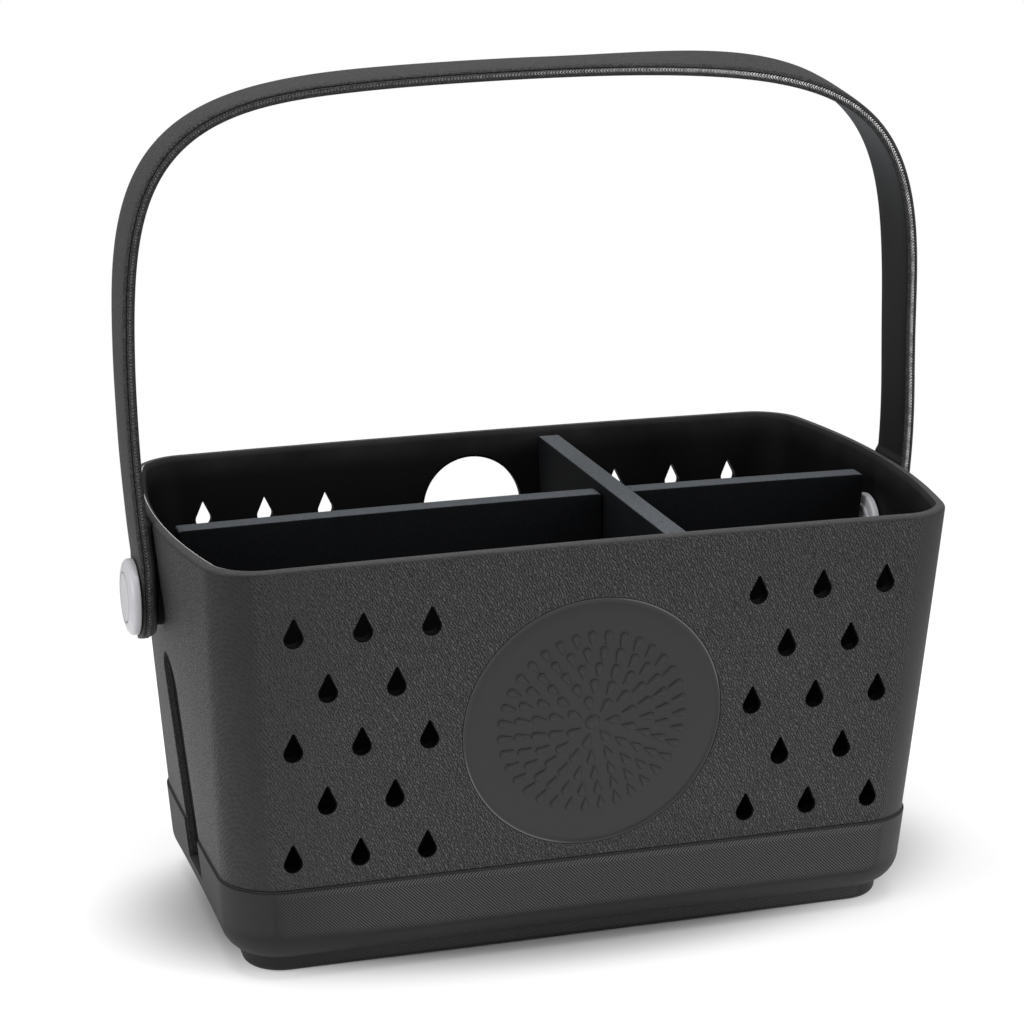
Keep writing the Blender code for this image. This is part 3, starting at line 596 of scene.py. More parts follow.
def strap_foam(finishes, strap, run_length):
    """Satin strap with a fine hide grain, a knurled bead along its sides and a smooth inside.

    The knurl is the sine of the run along the strap plus the distance from a line of
    painted highlight, so its crests are chevrons. That line lies near the inner edge on the
    left and near the outer edge on the right, where the light catches it. The inside has a
    painted sheen where it faces down.
    """
    foam = Finish("strap_satin_foam", roughness=0.5, specular=0.34)
    run, depth = (foam.node("ShaderNodeAttribute", {"attribute_name": name}, {}, "Fac")
                  for name in ("run", "depth"))
    fine = foam.noise(finishes.strap_tooth, 2.0, 0.6)
    cloud = foam.noise(finishes.strap_cloud, 3.0)
    seam_width, width = strap.seam, strap.bead_width
    start = strap.crown + strap.edge
    end = start + width + seam_width * 2
    past_seam = depth.between(start + seam_width, start + seam_width * 2)
    bead = past_seam * (1 - depth.between(end - seam_width, end))
    seam = depth.between(start - seam_width, start) * (1 - past_seam)
    outside = 1 - depth.between(strap.thickness - strap.inner_edge * 0.5,
                                strap.thickness - strap.inner_edge * 0.05)
    left = (run / run_length).between(0.28, 0.62)
    aside = abs(depth - (start + width * 0.46 + left * (width * 0.36)))
    rope = ((run + aside * 1.3) * (math.tau / strap.knurl_pitch)).sine()
    bright = 1 - aside.between(width * 0.16, width * (0.66 - left * 0.36))
    patchy = 0.42 + foam.noise(finishes.strap_patch, 2.0).between(0.36, 0.56) * 0.58
    # Painted highlight: white glints on the knurl's crests along that line, faint on the left.
    glint = bead * bright * rope.between(-0.15, 0.60) * patchy * (1 - left * 0.84)
    grain = fine.between(0.38, 0.66) * outside
    base = foam.blend(cloud * 0.010 + grain * 0.042 + glint, finishes.strap, finishes.glint_and_grain_white)
    # Painted sheen: the inside is lighter where it faces down.
    painted_underside_sheen = (-foam.facing_z).between(0.0, 0.75)
    smooth = foam.blend(painted_underside_sheen * 0.55, finishes.strap_inside, finishes.fibre_and_painted_light)
    base = foam.blend(outside, smooth, base)
    base = foam.blend(seam * 0.9, base, finishes.seam)
    roughness = 0.57 + cloud * 0.08 + fine * 0.08 - bead * 0.10 - outside * 0.10
    return foam.set(Base_Color=base, Roughness=roughness,
                    Normal=foam.bump(grain * 0.5 + bead * rope * 0.5, finishes.strap_depth, 0.8))


def board_foam(finishes):
    """Dense foam board: matt slate with fine fibres, and painted light on the faces that look up."""
    foam = Finish("board_foam", roughness=0.78, specular=0.11)
    fine = foam.noise(finishes.board_tooth, 4.0, 0.65)
    cloud = foam.noise(finishes.board_cloud, 3.0)
    painted_top_light = foam.facing_z.between(0.55, 0.95)
    fibres = fine.between(0.35, 0.75)
    # Painted light: faces that look up are much lighter.
    base = foam.blend(fibres * 0.038 + cloud * 0.018 + painted_top_light * (0.62 + fibres * 0.80),
                      finishes.board, finishes.fibre_and_painted_light)
    return foam.set(Base_Color=base, Roughness=0.70 + fine * 0.16,
                    Normal=foam.bump(fine, finishes.board_depth, 0.6))


def pale_plastic(finishes, pivot, ring, width):
    """Smooth pale plastic with a faint mottle, and a grey line in a button's fine ring."""
    plastic = Finish("pale_plastic", roughness=0.34, specular=0.5, coat=0.15, coat_roughness=0.2)
    over = plastic.z - pivot
    radius = (plastic.y * plastic.y + over * over).root()
    line = 1 - abs(radius - ring / 2).between(width * 0.28, width * 0.62)
    on_button = abs(plastic.x).between(finishes.line_from, finishes.line_full)
    mottle = plastic.noise(finishes.plastic_cloud, 4.0)
    base = plastic.blend(line * on_button * 0.9, finishes.plastic, finishes.plastic_line)
    base = plastic.blend(mottle * 0.08, base, finishes.plastic_line)
    tooth = plastic.noise(finishes.plastic_tooth, 2.0)
    return plastic.set(Base_Color=base, Roughness=0.30 + mottle * 0.1,
                       Normal=plastic.bump(tooth, finishes.plastic_depth, 0.3))


def floor_paper(finishes):
    """Plain pale studio paper with a very faint tooth, shaded only round the foot.

    Outside an ellipse under the caddy it glows, and further out it is clear.
    """
    paper = Finish("floor_paper", roughness=0.9, specular=0.0)
    base = paper.blend(paper.noise(finishes.paper_tooth, 2.0) * 0.02, finishes.floor, finishes.paper)
    spread = (paper.x * paper.x + paper.y * paper.y).root()
    along, across = paper.x / finishes.shade_length, paper.y / finishes.shade_depth
    away = (along * along + across * across).root()
    # Painted light: the floor glows outside the ellipse, so only round the foot does it keep its
    # shade.
    glow = paper.blend(away.between(0.88, 1.38), (0.0, 0.0, 0.0), (1.0, 1.0, 1.0))
    paper.shader.inputs["Emission Strength"].default_value = 0.55
    clear = spread.between(finishes.paper_fade, finishes.paper_end)
    return paper.set(Base_Color=base, Emission_Color=glow, Alpha=1 - clear)


def arc(centre, radius, start, end, steps):
    """Points on an arc, with the angles in degrees."""
    angles = np.radians(np.linspace(start, end, steps + 1))
    return np.stack([centre[0] + radius * np.cos(angles), centre[1] + radius * np.sin(angles)], 1)


def ease(values):
    """Smooth step from 0 to 1, level at both ends: 3 t squared less 2 t cubed."""
    values = np.clip(values, 0, 1)
    return values * values * (3 - 2 * values)


def hump(values, place, reach):
    """1 at a place and 0 from a reach away on, with the ease's slope between."""
    return ease(1 - abs(values - place) / reach)


def rounded(outline, radius, steps=5):
    """Closed outline whose corners become parabolas that start a radius from each corner."""
    outline = np.asarray(outline, float)
    back = np.roll(outline, 1, 0) - outline
    ahead = np.roll(outline, -1, 0) - outline
    back_length = np.linalg.norm(back, axis=1)[:, None]
    ahead_length = np.linalg.norm(ahead, axis=1)[:, None]
    start = outline + back / back_length * np.minimum(radius, back_length * ROUNDING_SHARE)
    end = outline + ahead / ahead_length * np.minimum(radius, ahead_length * ROUNDING_SHARE)
    t = np.linspace(0, 1, steps)[:, None, None]
    curve = (1 - t) ** 2 * start + 2 * t * (1 - t) * outline + t ** 2 * end
    return curve.transpose(1, 0, 2).reshape(-1, 2)


def carried(outline, profile, place):
    """Grid of a profile of (spread, depth) carried round a closed flat outline.

    A point of the outline is moved out by the spread along its normal, and place
    turns the flat point and the depth into a point in space.
    """
    ahead = np.roll(outline, -1, 0) - np.roll(outline, 1, 0)
    normal = np.stack([ahead[:, 1], -ahead[:, 0]], 1)
    normal /= np.linalg.norm(normal, axis=1)[:, None]
    profile = np.asarray(profile, float)
    flat = outline[None] + profile[:, None, :1] * normal[None]
    depth = np.broadcast_to(profile[:, None, 1], flat.shape[:2])
    return np.stack(np.broadcast_arrays(*place(flat[..., 0], flat[..., 1], depth)), -1)


def lipped(depth, outer_lip, inner_lip, reach, steps=5):
    """Profile of a cut through a wall: wide of the wall, a rounded lip, straight, a lip."""
    turn = np.linspace(0, math.pi / 2, steps)
    fall, rise = 1 - np.sin(turn), 1 - np.cos(turn)
    outer = np.stack([outer_lip * fall, outer_lip * rise], 1)
    inner = np.stack([inner_lip * rise, depth - inner_lip * fall], 1)
    return np.concatenate([[[outer_lip, -reach]], outer, inner, [[inner_lip, depth + reach]]])


def grid_faces(rows, columns):
    """Quads between the rows of a grid that closes on itself, and a cap at each end."""
    index = np.arange(rows * columns).reshape(rows, columns)
    following = np.roll(index, -1, axis=1)
    quads = np.stack([index[:-1], following[:-1], following[1:], index[1:]], -1).reshape(-1, 4)
    return quads, np.stack([index[0][::-1], index[-1]])


def volume(points, faces):
    """Six times the volume inside some faces, each taken as a fan from its first corner."""
    first, second, third = (points[part] for part in (faces[:, :1], faces[:, 1:-1], faces[:, 2:]))
    return (first * np.cross(second, third)).sum()


def mesh_of(name, grids, zones=None):
    """Mesh of one or more closed grids, each with its faces turned outwards."""
    points, faces, start = [], [], 0
    for grid in grids:
        flat = grid.reshape(-1, 3)
        quads, caps = grid_faces(*grid.shape[:2])
        way = 1 if volume(flat, quads) + volume(flat, caps) > 0 else -1
        faces += (quads[:, ::way] + start).tolist() + (caps[:, ::way] + start).tolist()
        points.append(flat)
        start += len(flat)
    mesh = bpy.data.meshes.new(name)
    mesh.from_pydata(np.concatenate(points).tolist(), [], faces)
    if zones is not None:
        mesh.polygons.foreach_set("material_index", np.asarray(zones, np.int32))
    mesh.update()
    return mesh


def even_zones(grids, zones):
    """Zone of every face of some grids, from a zone for each grid's sides and one for its end."""
    return np.concatenate([[sides] * ((grid.shape[0] - 1) * grid.shape[1] + 1) + [end]
                           for grid, (sides, end) in zip(grids, zones)])


def add_object(name, data):
    """New object at the origin, in the scene."""
    item = bpy.data.objects.new(name, data)
    bpy.context.scene.collection.objects.link(item)
    return item


def add_piece(name, mesh, materials, body, nodes, sharp=40):
    """Piece that rides on a body and stands for CAD nodes, with its finishes in its zones' slots.

    Edges that turn by more than sharp, in degrees, stay sharp.
    """
    for zone, material in enumerate(materials):
        if zone == len(mesh.materials):
            mesh.materials.append(None)
        mesh.materials[zone] = material
    piece = add_object(name, mesh)
    mesh.shade_smooth()
    mesh.set_sharp_from_angle(angle=math.radians(sharp))
    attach(piece, body)
    if nodes:
        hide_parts(*nodes)
    return piece


def carve(name, mesh, steps, zone_count):
    """Mesh after exact unions and differences with others, which are then removed.

    Blank materials hold the place of each zone's finish, so that cut faces keep theirs.
    """
    blanks = [bpy.data.materials.new(f"blank_{k}") for k in range(zone_count)]
    item = add_object("carved", mesh)
    tools = [add_object("tool", other) for operation, other in steps]
    for thing in (item, *tools):
        for blank in blanks:
            thing.data.materials.append(blank)
    for (operation, other), tool in zip(steps, tools):
        modifier = item.modifiers.new(operation, "BOOLEAN")
        modifier.operation = operation
        modifier.solver = "EXACT"
        modifier.object = tool
    view = bpy.context.evaluated_depsgraph_get()
    made = bpy.data.meshes.new_from_object(item.evaluated_get(view), depsgraph=view)
    for thing in (item, *tools):
        data = thing.data
        bpy.data.objects.remove(thing)
        bpy.data.meshes.remove(data)
    for blank in blanks:
        bpy.data.materials.remove(blank)
    if not made.polygons:
        raise RuntimeError("carving left nothing")
    made.name = name
    return made


def turned(profile, place, steps=96):
    """Grid of a profile of (radius, height) turned about an axis.

    A point is (radius cos a, radius sin a, height), which place turns into space.
    """
    profile = np.asarray(profile, float)
    angles = np.linspace(0, math.tau, steps, endpoint=False)
    u = profile[:, :1] * np.cos(angles)
    v = profile[:, :1] * np.sin(angles)
    height = np.broadcast_to(profile[:, 1:], u.shape)
    return np.stack(np.broadcast_arrays(*place(u, v, height)), -1)


def rise_share(tub, height):
    """Share of the way from the waist up to the rim."""
    return (height - tub.waist_height) / (tub.height - tub.waist_height)


def between(first, last, portion):
    """Value a portion of the way from the first to the last."""
    return first + (last - first) * portion


def half_length(tub, height):
    """Outside half length at mid-depth, straight from the waist to the rim."""
    return between(tub.waist_length, tub.rim_length, rise_share(tub, height)) / 2


def half_depth(tub, height):
    return between(tub.waist_depth, tub.rim_depth, rise_share(tub, height)) / 2


def end_bow(tub, height):
    return between(tub.waist_bow, tub.rim_bow, rise_share(tub, height))


def end_slope(tub):
    return (tub.rim_length - tub.waist_length) / 2 / (tub.height - tub.waist_height)


def side_slope(tub):
    return (tub.rim_depth - tub.waist_depth) / 2 / (tub.height - tub.waist_height)


def outline_shares(side_steps=96, corner_steps=16, end_steps=44):
    """Shares of the straight run and of the corner radius for each point of a rounded rectangle.

    A point is (along (L - r) + turn_x r, across (D - r) + turn_y r), for a half length L,
    a half depth D and a corner radius r.
    """
    run = np.linspace(-1, 1, side_steps + 1)[1:-1]
    climb = np.linspace(-1, 1, end_steps + 1)[1:-1]
    quarter = np.linspace(0, math.pi / 2, corner_steps + 1)
    one, level = np.ones_like, np.zeros_like
    parts = []
    for start, sx, sy in ((-math.pi / 2, 1, -1), (0, 1, 1), (math.pi / 2, -1, 1), (math.pi, -1, -1)):
        angle = start + quarter
        corner = [sx * one(angle), sy * one(angle), np.cos(angle), np.sin(angle)]
        if sx * sy < 0:
            before = [-sy * run, sy * one(run), level(run), sy * one(run)]
        else:
            before = [sx * one(climb), sy * climb, sx * one(climb), level(climb)]
        parts += [np.stack(before), np.stack(corner)]
    return np.concatenate(parts, axis=1)


def tub_surface(tub, heights, insets):
    """Rounded rectangles stacked up the tub, whose ends swell to a parabola.

    x grows by the bow times 1 - (y / D) squared, and z dips by the crown times
    (x / L) squared, which fades to nothing at the waist.
    """
    heights = np.asarray(heights)[:, None]
    insets = np.asarray(insets)[:, None]
    portion = rise_share(tub, heights)
    depth = half_depth(tub, heights) - insets
    bow = end_bow(tub, heights)
    run = half_length(tub, heights) - bow - insets
    radius = between(tub.waist_corner, tub.rim_corner, portion) - insets
    along, across, turn_x, turn_y = outline_shares()
    x = along * (run - radius) + turn_x * radius
    y = across * (depth - radius) + turn_y * radius
    z = heights - tub.crown * np.maximum(portion, 0) * (x / run) ** 2
    x = x * (1 + bow / run * (1 - (y / depth) ** 2))
    return np.stack([x, y, z], -1)


OUTER, INNER, BASE, PAINTED_SHADE = range(4)


def tub_stations(tub):
    """Heights, insets and zones of the tub's rows, from the sole out, up, over and in."""
    edge, wall = tub.foot_edge, tub.wall
    turn_inset = tub.band_turn - tub.band_proud
    lip_sine = (turn_inset - tub.foot_inset + tub.band_lip) / tub.band_turn
    lip_angle = math.degrees(math.asin(lip_sine))
    turn_height = tub.foot_height + tub.band_turn * math.cos(math.asin(lip_sine))
    waist, half_groove = tub.waist_height, tub.groove_width / 2
    travel = tub.band_proud + tub.groove_depth
    groove = [[waist - half_groove * (1 - t),
               travel * (1 - math.cos(math.pi / 2 * t)) ** 0.7 - tub.band_proud]
              for t in (0.0, 0.3, 0.6, 0.85, 1.0)]
    upper = [[waist + half_groove * t, tub.groove_depth * (1 - t) ** 0.6] for t in (0.3, 0.65, 1.0)]
    foot = arc((edge, tub.foot_inset + edge), edge, 180, 270, 8)
    step = [[tub.foot_height - tub.band_lip * 0.75, tub.foot_inset],
            [tub.foot_height, tub.foot_inset + tub.band_lip / 4]]
    band = arc((turn_height, turn_inset), tub.band_turn, 180 + lip_angle, 270, 14)
    flat_top = waist - half_groove * 1.5
    flat = [[h, -tub.band_proud] for h in np.linspace(turn_height, flat_top, 8)[1:]]
    rim_middle = tub.height - wall / 2
    outer = [[h, 0.0] for h in np.linspace(waist + half_groove, rim_middle, 40)[1:-1]]
    rim = arc((rim_middle, wall / 2), wall / 2, -90, 90, 14)
    fillet_top = tub.floor_top + tub.floor_fillet
    inner = [[h, wall] for h in np.linspace(rim_middle, fillet_top, 14)[1:-1]]
    fillet = arc((fillet_top, wall + tub.floor_fillet), tub.floor_fillet, 270, 180, 7)
    groups = ((BASE, [foot, step, band, flat, groove[:3]]),
              (OUTER, [groove[3:], upper, outer, rim[:10]]), (INNER, [rim[10:], inner, fillet]))
    parts = [(zone, np.asarray(part)) for zone, members in groups for part in members]
    rows = np.concatenate([part for zone, part in parts])
    zones = np.concatenate([[zone] * len(part) for zone, part in parts])
    return rows[:, 0], rows[:, 1], zones


def drop_outline(radius, tip, height, steps=44):
    """Drop with its tip at the origin: the hull of a large circle and a small one above it.

    The angle of the outline's normal says which of the two circles a point lies on.
    """
    angle = np.linspace(0, math.tau, steps, endpoint=False) + math.pi / steps
    direction = np.stack([np.cos(angle), np.sin(angle)], 1)
    at_tip = (direction[:, 1] * (height - radius - tip) > radius - tip)[:, None]
    return np.where(at_tip, [0, -tip], [0, radius - height]) \
        + np.where(at_tip, tip, radius) * direction


def vent_places(tub, openings):
    """Rows of three and two drops in turn, with the outer column at the end margin."""
    outer = tub.waist_length / 2 - openings.vent_end_margin
    places = []
    for row in range(openings.vent_rows):
        tip = tub.height - openings.vent_rim_margin - row * openings.vent_row_pitch
        odd = row % 2
        for column in range(3 - odd):
            x = outer - (column + odd / 2) * openings.vent_pitch
            places += [(x, tip), (-x, tip)]
    return places


def pivot_height(tub, openings):
    return tub.height - openings.pivot_drop


def stem_bores(tub, openings):
    """Cylinders through both ends at the pivot, a clearance wider than the stems."""
    pivot, end_x = pivot_height(tub, openings), tub.rim_length / 2
    bore = openings.stem_diameter / 2 + openings.clearance
    profile = [[bore, end_x + openings.bore_reach], [bore, end_x - openings.bore_reach]]
    return [turned(profile, lambda u, v, x, side=side: (side * x, u, pivot + v), 48)
            for side in (-1, 1)]


def panel_frame(tub, panel):
    """Middle of the round panel on the front wall, the way up the wall and the way out."""
    height = tub.waist_height + panel.waist_gap + panel.diameter / 2
    lean = math.atan(side_slope(tub))
    middle = np.array([0.0, -half_depth(tub, height), height])
    return middle, np.array([0, -math.sin(lean), math.cos(lean)]), \
        np.array([0, -math.cos(lean), -math.sin(lean)])


def on_panel(tub, panel):
    """Places a flat point and a depth into the front wall at the round panel."""
    middle, up, out = panel_frame(tub, panel)

    def place(u, v, depth):
        return (middle[0] + u, middle[1] + v * up[1] - depth * out[1],
                middle[2] + v * up[2] - depth * out[2])
    return place


def tub_cutters(tub, openings, panel):
    """Grids of everything that is cut out of the tub, and the zones of each one's sides and end."""
    reach = openings.overrun

    def front(u, v, depth):
        return u, depth - half_depth(tub, v), v

    def back(u, v, depth):
        return u, half_depth(tub, v) - depth, v

    profile = lipped(tub.wall, openings.vent_lip, openings.vent_lip / 2, reach)
    drop = drop_outline(openings.vent_radius, openings.vent_tip, openings.vent_height)
    grids = [carried(drop + place, profile, wall)
             for place in vent_places(tub, openings) for wall in (front, back)]

    radius = openings.grip_diameter / 2
    circle = arc((0, tub.height - openings.grip_rim_margin - radius), radius, 0, 360, 96)[:-1]
    profile = lipped(tub.wall, openings.grip_lip, openings.grip_lip, reach)
    grids.append(carried(circle, profile, back))
    zones = [(PAINTED_SHADE, PAINTED_SHADE)] * len(grids)

    circle = arc((0, 0), panel.diameter / 2, 0, 360, 160)[:-1]
    bed = [[panel.lip, -reach]] + [[panel.lip * (1 - math.sin(t)), panel.lip * (1 - math.cos(t))]
                                   for t in np.linspace(0, math.pi / 2, 6)] + [[0, panel.recess]]
    grids.append(carried(circle, bed, on_panel(tub, panel)))
    zones.append((OUTER, OUTER))

    half, lip, foot = openings.recess_width / 2, openings.recess_lip, openings.recess_bottom
    spring = pivot_height(tub, openings) - openings.recess_top_drop - half
    arch = np.concatenate([[[-half, foot], [half, foot]], arc((0, spring), half, 0, 180, 24)])
    recess = [[lip, -reach], [lip, 0], [lip * HALFWAY_SHARE, lip * HALFWAY_SHARE], [0, lip],
              [0, openings.recess_depth]]
    for side in (-1, 1):
        grids.append(carried(arch, recess, lambda u, v, depth, side=side:
                             (side * (half_length(tub, v) - depth), u, v)))
        # The recess's floor takes the painted shade of the cuts.
        zones.append((OUTER, PAINTED_SHADE))
    bores = stem_bores(tub, openings)
    return grids + bores, zones + [(PAINTED_SHADE, PAINTED_SHADE)] * len(bores)


def seat_x(tub, openings, strap):
    """Face of the pivot seat, proud enough for the strap's upright tab to clear the wall."""
    return half_length(tub, pivot_height(tub, openings) + strap.flat_rise) + strap.wall_gap


def pivot_seats(tub, openings, strap):
    """Round seats that stand off the end walls at the pivot."""
    pivot = pivot_height(tub, openings)
    radius, edge = openings.seat_diameter / 2, openings.seat_edge
    face, halfway = seat_x(tub, openings, strap), openings.seat_edge * HALFWAY_SHARE
    profile = [[radius, half_length(tub, pivot) - tub.wall / 2], [radius, face - edge],
               [radius - halfway, face - halfway], [radius - edge, face]]
    return [turned(profile, lambda u, v, x, side=side: (side * x, u, pivot + v), 64)
            for side in (-1, 1)]


def make_tub(tub, openings, strap, panel, finishes):
    """Tub shell: stacked rows with the pivot seats added, and all holes and beds cut out."""
    heights, insets, zones = tub_stations(tub)
    grid = tub_surface(tub, heights, insets)
    shell = mesh_of("tub", [grid], np.append(np.repeat(zones[1:], grid.shape[1]), [BASE, INNER]))
    seats = pivot_seats(tub, openings, strap)
    # The pivot seats take the painted shade, standing in for the strap tab's contact shadow on the
    # wall.
    seats = mesh_of("seats", seats, even_zones(seats, [(PAINTED_SHADE, PAINTED_SHADE)] * len(seats)))
    grids, zones = tub_cutters(tub, openings, panel)
    cutters = mesh_of("cutters", grids, even_zones(grids, zones))
    carved = carve("tub_shell", shell, [("UNION", seats), ("DIFFERENCE", cutters)], 4)
    materials = [pebbled_foam(finishes), inner_foam(finishes, tub), ribbed_foam(finishes, tub),
                 cut_foam(finishes)]
    piece = add_piece("tub_shell", carved, materials, "tub", ["tub"], 42)
    weighted = piece.modifiers.new("even_shading", "WEIGHTED_NORMAL")
    weighted.keep_sharp = True


# Rings of the rosette: how many drops, from which to which radius, and a drop's own radius.
ROSETTE = ((7, 0.0056, 0.0126, 0.0020), (14, 0.0136, 0.0206, 0.0019),
           (21, 0.0214, 0.0284, 0.0018), (28, 0.0290, 0.0360, 0.0018),
           (35, 0.0366, 0.0436, 0.0018))


def ring_of_drops(count, start, end, radius, relief, turn):
    """Low domed drops with their tips towards the middle, as (drop, row, column).

    A row is the drop's outline drawn in towards its round end's centre while the height
    climbs steeply and then levels off.
    """
    size_shares = np.array([1.0, 1.0, 0.90, 0.74, 0.50, 0.22])
    height_shares = np.array([-0.30, 0.06, 0.62, 0.86, 0.97, 1.0])
    tip_share = 0.12
    outline = drop_outline(radius, radius * tip_share, end - start, 26)
    centre = np.array([0, radius - (end - start)])
    rows = centre + size_shares[:, None, None] * (outline - centre)
    along, across = start - rows[..., 1], rows[..., 0]
    angle = (np.arange(count)[:, None, None] + turn) * math.tau / count
    u = along * np.cos(angle) - across * np.sin(angle)
    v = along * np.sin(angle) + across * np.cos(angle)
    return u, v, np.broadcast_to(relief * height_shares[:, None], u.shape)


def make_panel(tub, panel, finishes):
    """Round panel with a raised border, and a plain rosette of drops in relief on it."""
    place = on_panel(tub, panel)
    reach = panel.diameter / 2 - panel.gap
    face, half, border = panel.face_drop, panel.bead_width / 2, reach - panel.bead_width
    swell = np.linspace(0, math.pi, 13)
    skewed = math.pi * (swell / math.pi) ** panel.bead_skew
    height = panel.bead * np.sin(skewed).clip(0) ** panel.bead_power
    bead = np.stack([reach - half - half * np.cos(swell), face - height], 1)
    field = [[r, face] for r in np.linspace(panel.field_pole, border - panel.field_margin, 12)]
    field.append([border - panel.groove_margin, face + panel.field_groove])
    profile = np.concatenate([field, bead, [[reach, panel.recess + panel.sink]]])
    mesh = mesh_of("front_panel", [turned(profile, place, 220)])
    crest = reach - half * panel.crest_share
    material = panel_foam(finishes, panel_frame(tub, panel)[0], crest, panel.bead_width)
    add_piece("front_panel", mesh, [material], "tub", [], 60)

    boss, top = panel.boss, face - panel.relief
    dome = [[boss, face + panel.boss_sink], [boss, face], [boss * 0.86, face - panel.relief * 0.8],
            [boss * 0.5, top], [panel.boss_pole, top]]
    grids = [turned(dome, place, 48)]
    for ring, (count, start, end, radius) in enumerate(ROSETTE):
        u, v, height = ring_of_drops(count, start, end, radius, panel.relief, ring % 2 / 2)
        grids += list(np.stack(np.broadcast_arrays(*place(u, v, face - height)), -1))
    mesh = mesh_of("panel_rosette", grids)
    add_piece("panel_rosette", mesh, [material], "tub", [], 50)


def lean_share(strap, rise):
    """Share of the leg's lean at a rise: most of it low down, none left at the spring."""
    part = (rise - strap.flat_rise) / (strap.spring_rise - strap.flat_rise)
    return part * (2 - part)


def tab_face_x(tub, openings, strap):
    return seat_x(tub, openings, strap) + openings.clearance + strap.tab_thickness


def arch_half_span(tub, openings, strap):
    """Outer face at the spring, with the lean that clears the wall where the thick tab ends."""
    flat_x = tab_face_x(tub, openings, strap)
    wall_x = half_length(tub, pivot_height(tub, openings) + strap.tab_rise)
    clear_x = wall_x + strap.wall_gap + strap.tab_thickness
    return flat_x + (clear_x - flat_x) / lean_share(strap, strap.tab_rise)


def mirrored(values, sign):
    """Values from one end to the middle, then back again with a sign."""
    return np.concatenate([values, sign * values[-2::-1]])


def strap_line(tub, openings, strap):
    """Stations of the strap's outer face: x, rise, normal and run, from one end to the other.

    Flat under the button, then a lean outwards that straightens up, then the
    superellipse |x / a| ^ n + |z / b| ^ n = 1 over the top.
    """
    flat_x = tab_face_x(tub, openings, strap)
    half_span = arch_half_span(tub, openings, strap)
    low = np.linspace(-strap.tab_drop, strap.flat_rise, 300)[:-1]
    lean = np.linspace(strap.flat_rise, strap.spring_rise, 500)[:-1]
    turn = np.linspace(0, math.pi / 2, 6000)
    power = 2 / strap.squareness
    arch_x = half_span * np.clip(np.cos(turn), 0, 1) ** power
    arch_z = strap.spring_rise + (strap.rise - strap.spring_rise) * np.sin(turn) ** power
    x = np.concatenate([np.full_like(low, flat_x),
                        flat_x + (half_span - flat_x) * lean_share(strap, lean), arch_x])
    z = np.concatenate([low, lean, arch_z])
    run = np.append(0, np.cumsum(np.hypot(np.diff(x), np.diff(z))))
    first_angle = 0.05
    round_end = strap.tab_drop * (1 - np.cos(np.linspace(first_angle, math.pi / 2, 26)))
    count = int((run[-1] - strap.tab_drop) / strap.station_pitch)
    stations = np.append(round_end, np.linspace(strap.tab_drop, run[-1], count)[1:])
    x, z = np.interp(stations, run, x), np.interp(stations, run, z)
    z[-1] = strap.rise
    x, z = mirrored(x, -1), mirrored(z, 1)
    run = np.append(stations, 2 * run[-1] - stations[-2::-1])
    slope_x, slope_z = np.gradient(x), np.gradient(z)
    steep = np.hypot(slope_x, slope_z)
    return x, z, slope_z / steep, -slope_x / steep, run


def strap_section(strap, half, thick, bead):
    """Closed section of the strap as across and depth for each station.

    From the middle of the outer face: a crowned face, a rounded edge, a fine groove, a
    bead whose height is half a sine, a rounded inner edge and the inner face, then the
    same again on the other side. All edges shrink where the strap is narrow.
    """
    small = np.minimum(1, half / strap.full_half)
    edge, inner, seam = strap.edge * small, strap.inner_edge * small, strap.seam * small
    crown = strap.crown * small
    top = crown + edge
    section = [((half - edge) * t, crown * t ** 3) for t in np.linspace(0, 1, 6)[:-1]]
    section += [(half - edge + edge * math.sin(t), crown + edge * (1 - math.cos(t)))
                for t in np.linspace(0, math.pi / 2, 6)]
    section += [(half - seam * sink, top + seam * down)
                for sink, down in ((1.0, 0.35), (1.3, 0.8), (0.6, 1.2))]
    section += [(half + bead * small * math.sin(math.pi * t),
                 top + seam * 1.5 + strap.bead_width * small * t)
                for t in np.linspace(0, 1, 8)[:-1]]
    section += [(half - inner + inner * math.cos(t), thick - inner + inner * math.sin(t))
                for t in np.linspace(0, math.pi / 2, 5)]
    section += [((half - inner) * t, thick) for t in np.linspace(1, 0, 4)[1:]]
    across, depth = np.array(section).transpose(1, 2, 0)
    mirror = slice(-2, 0, -1)
    return (np.concatenate([across, -across[:, mirror]], 1),
            np.concatenate([depth, depth[:, mirror]], 1))


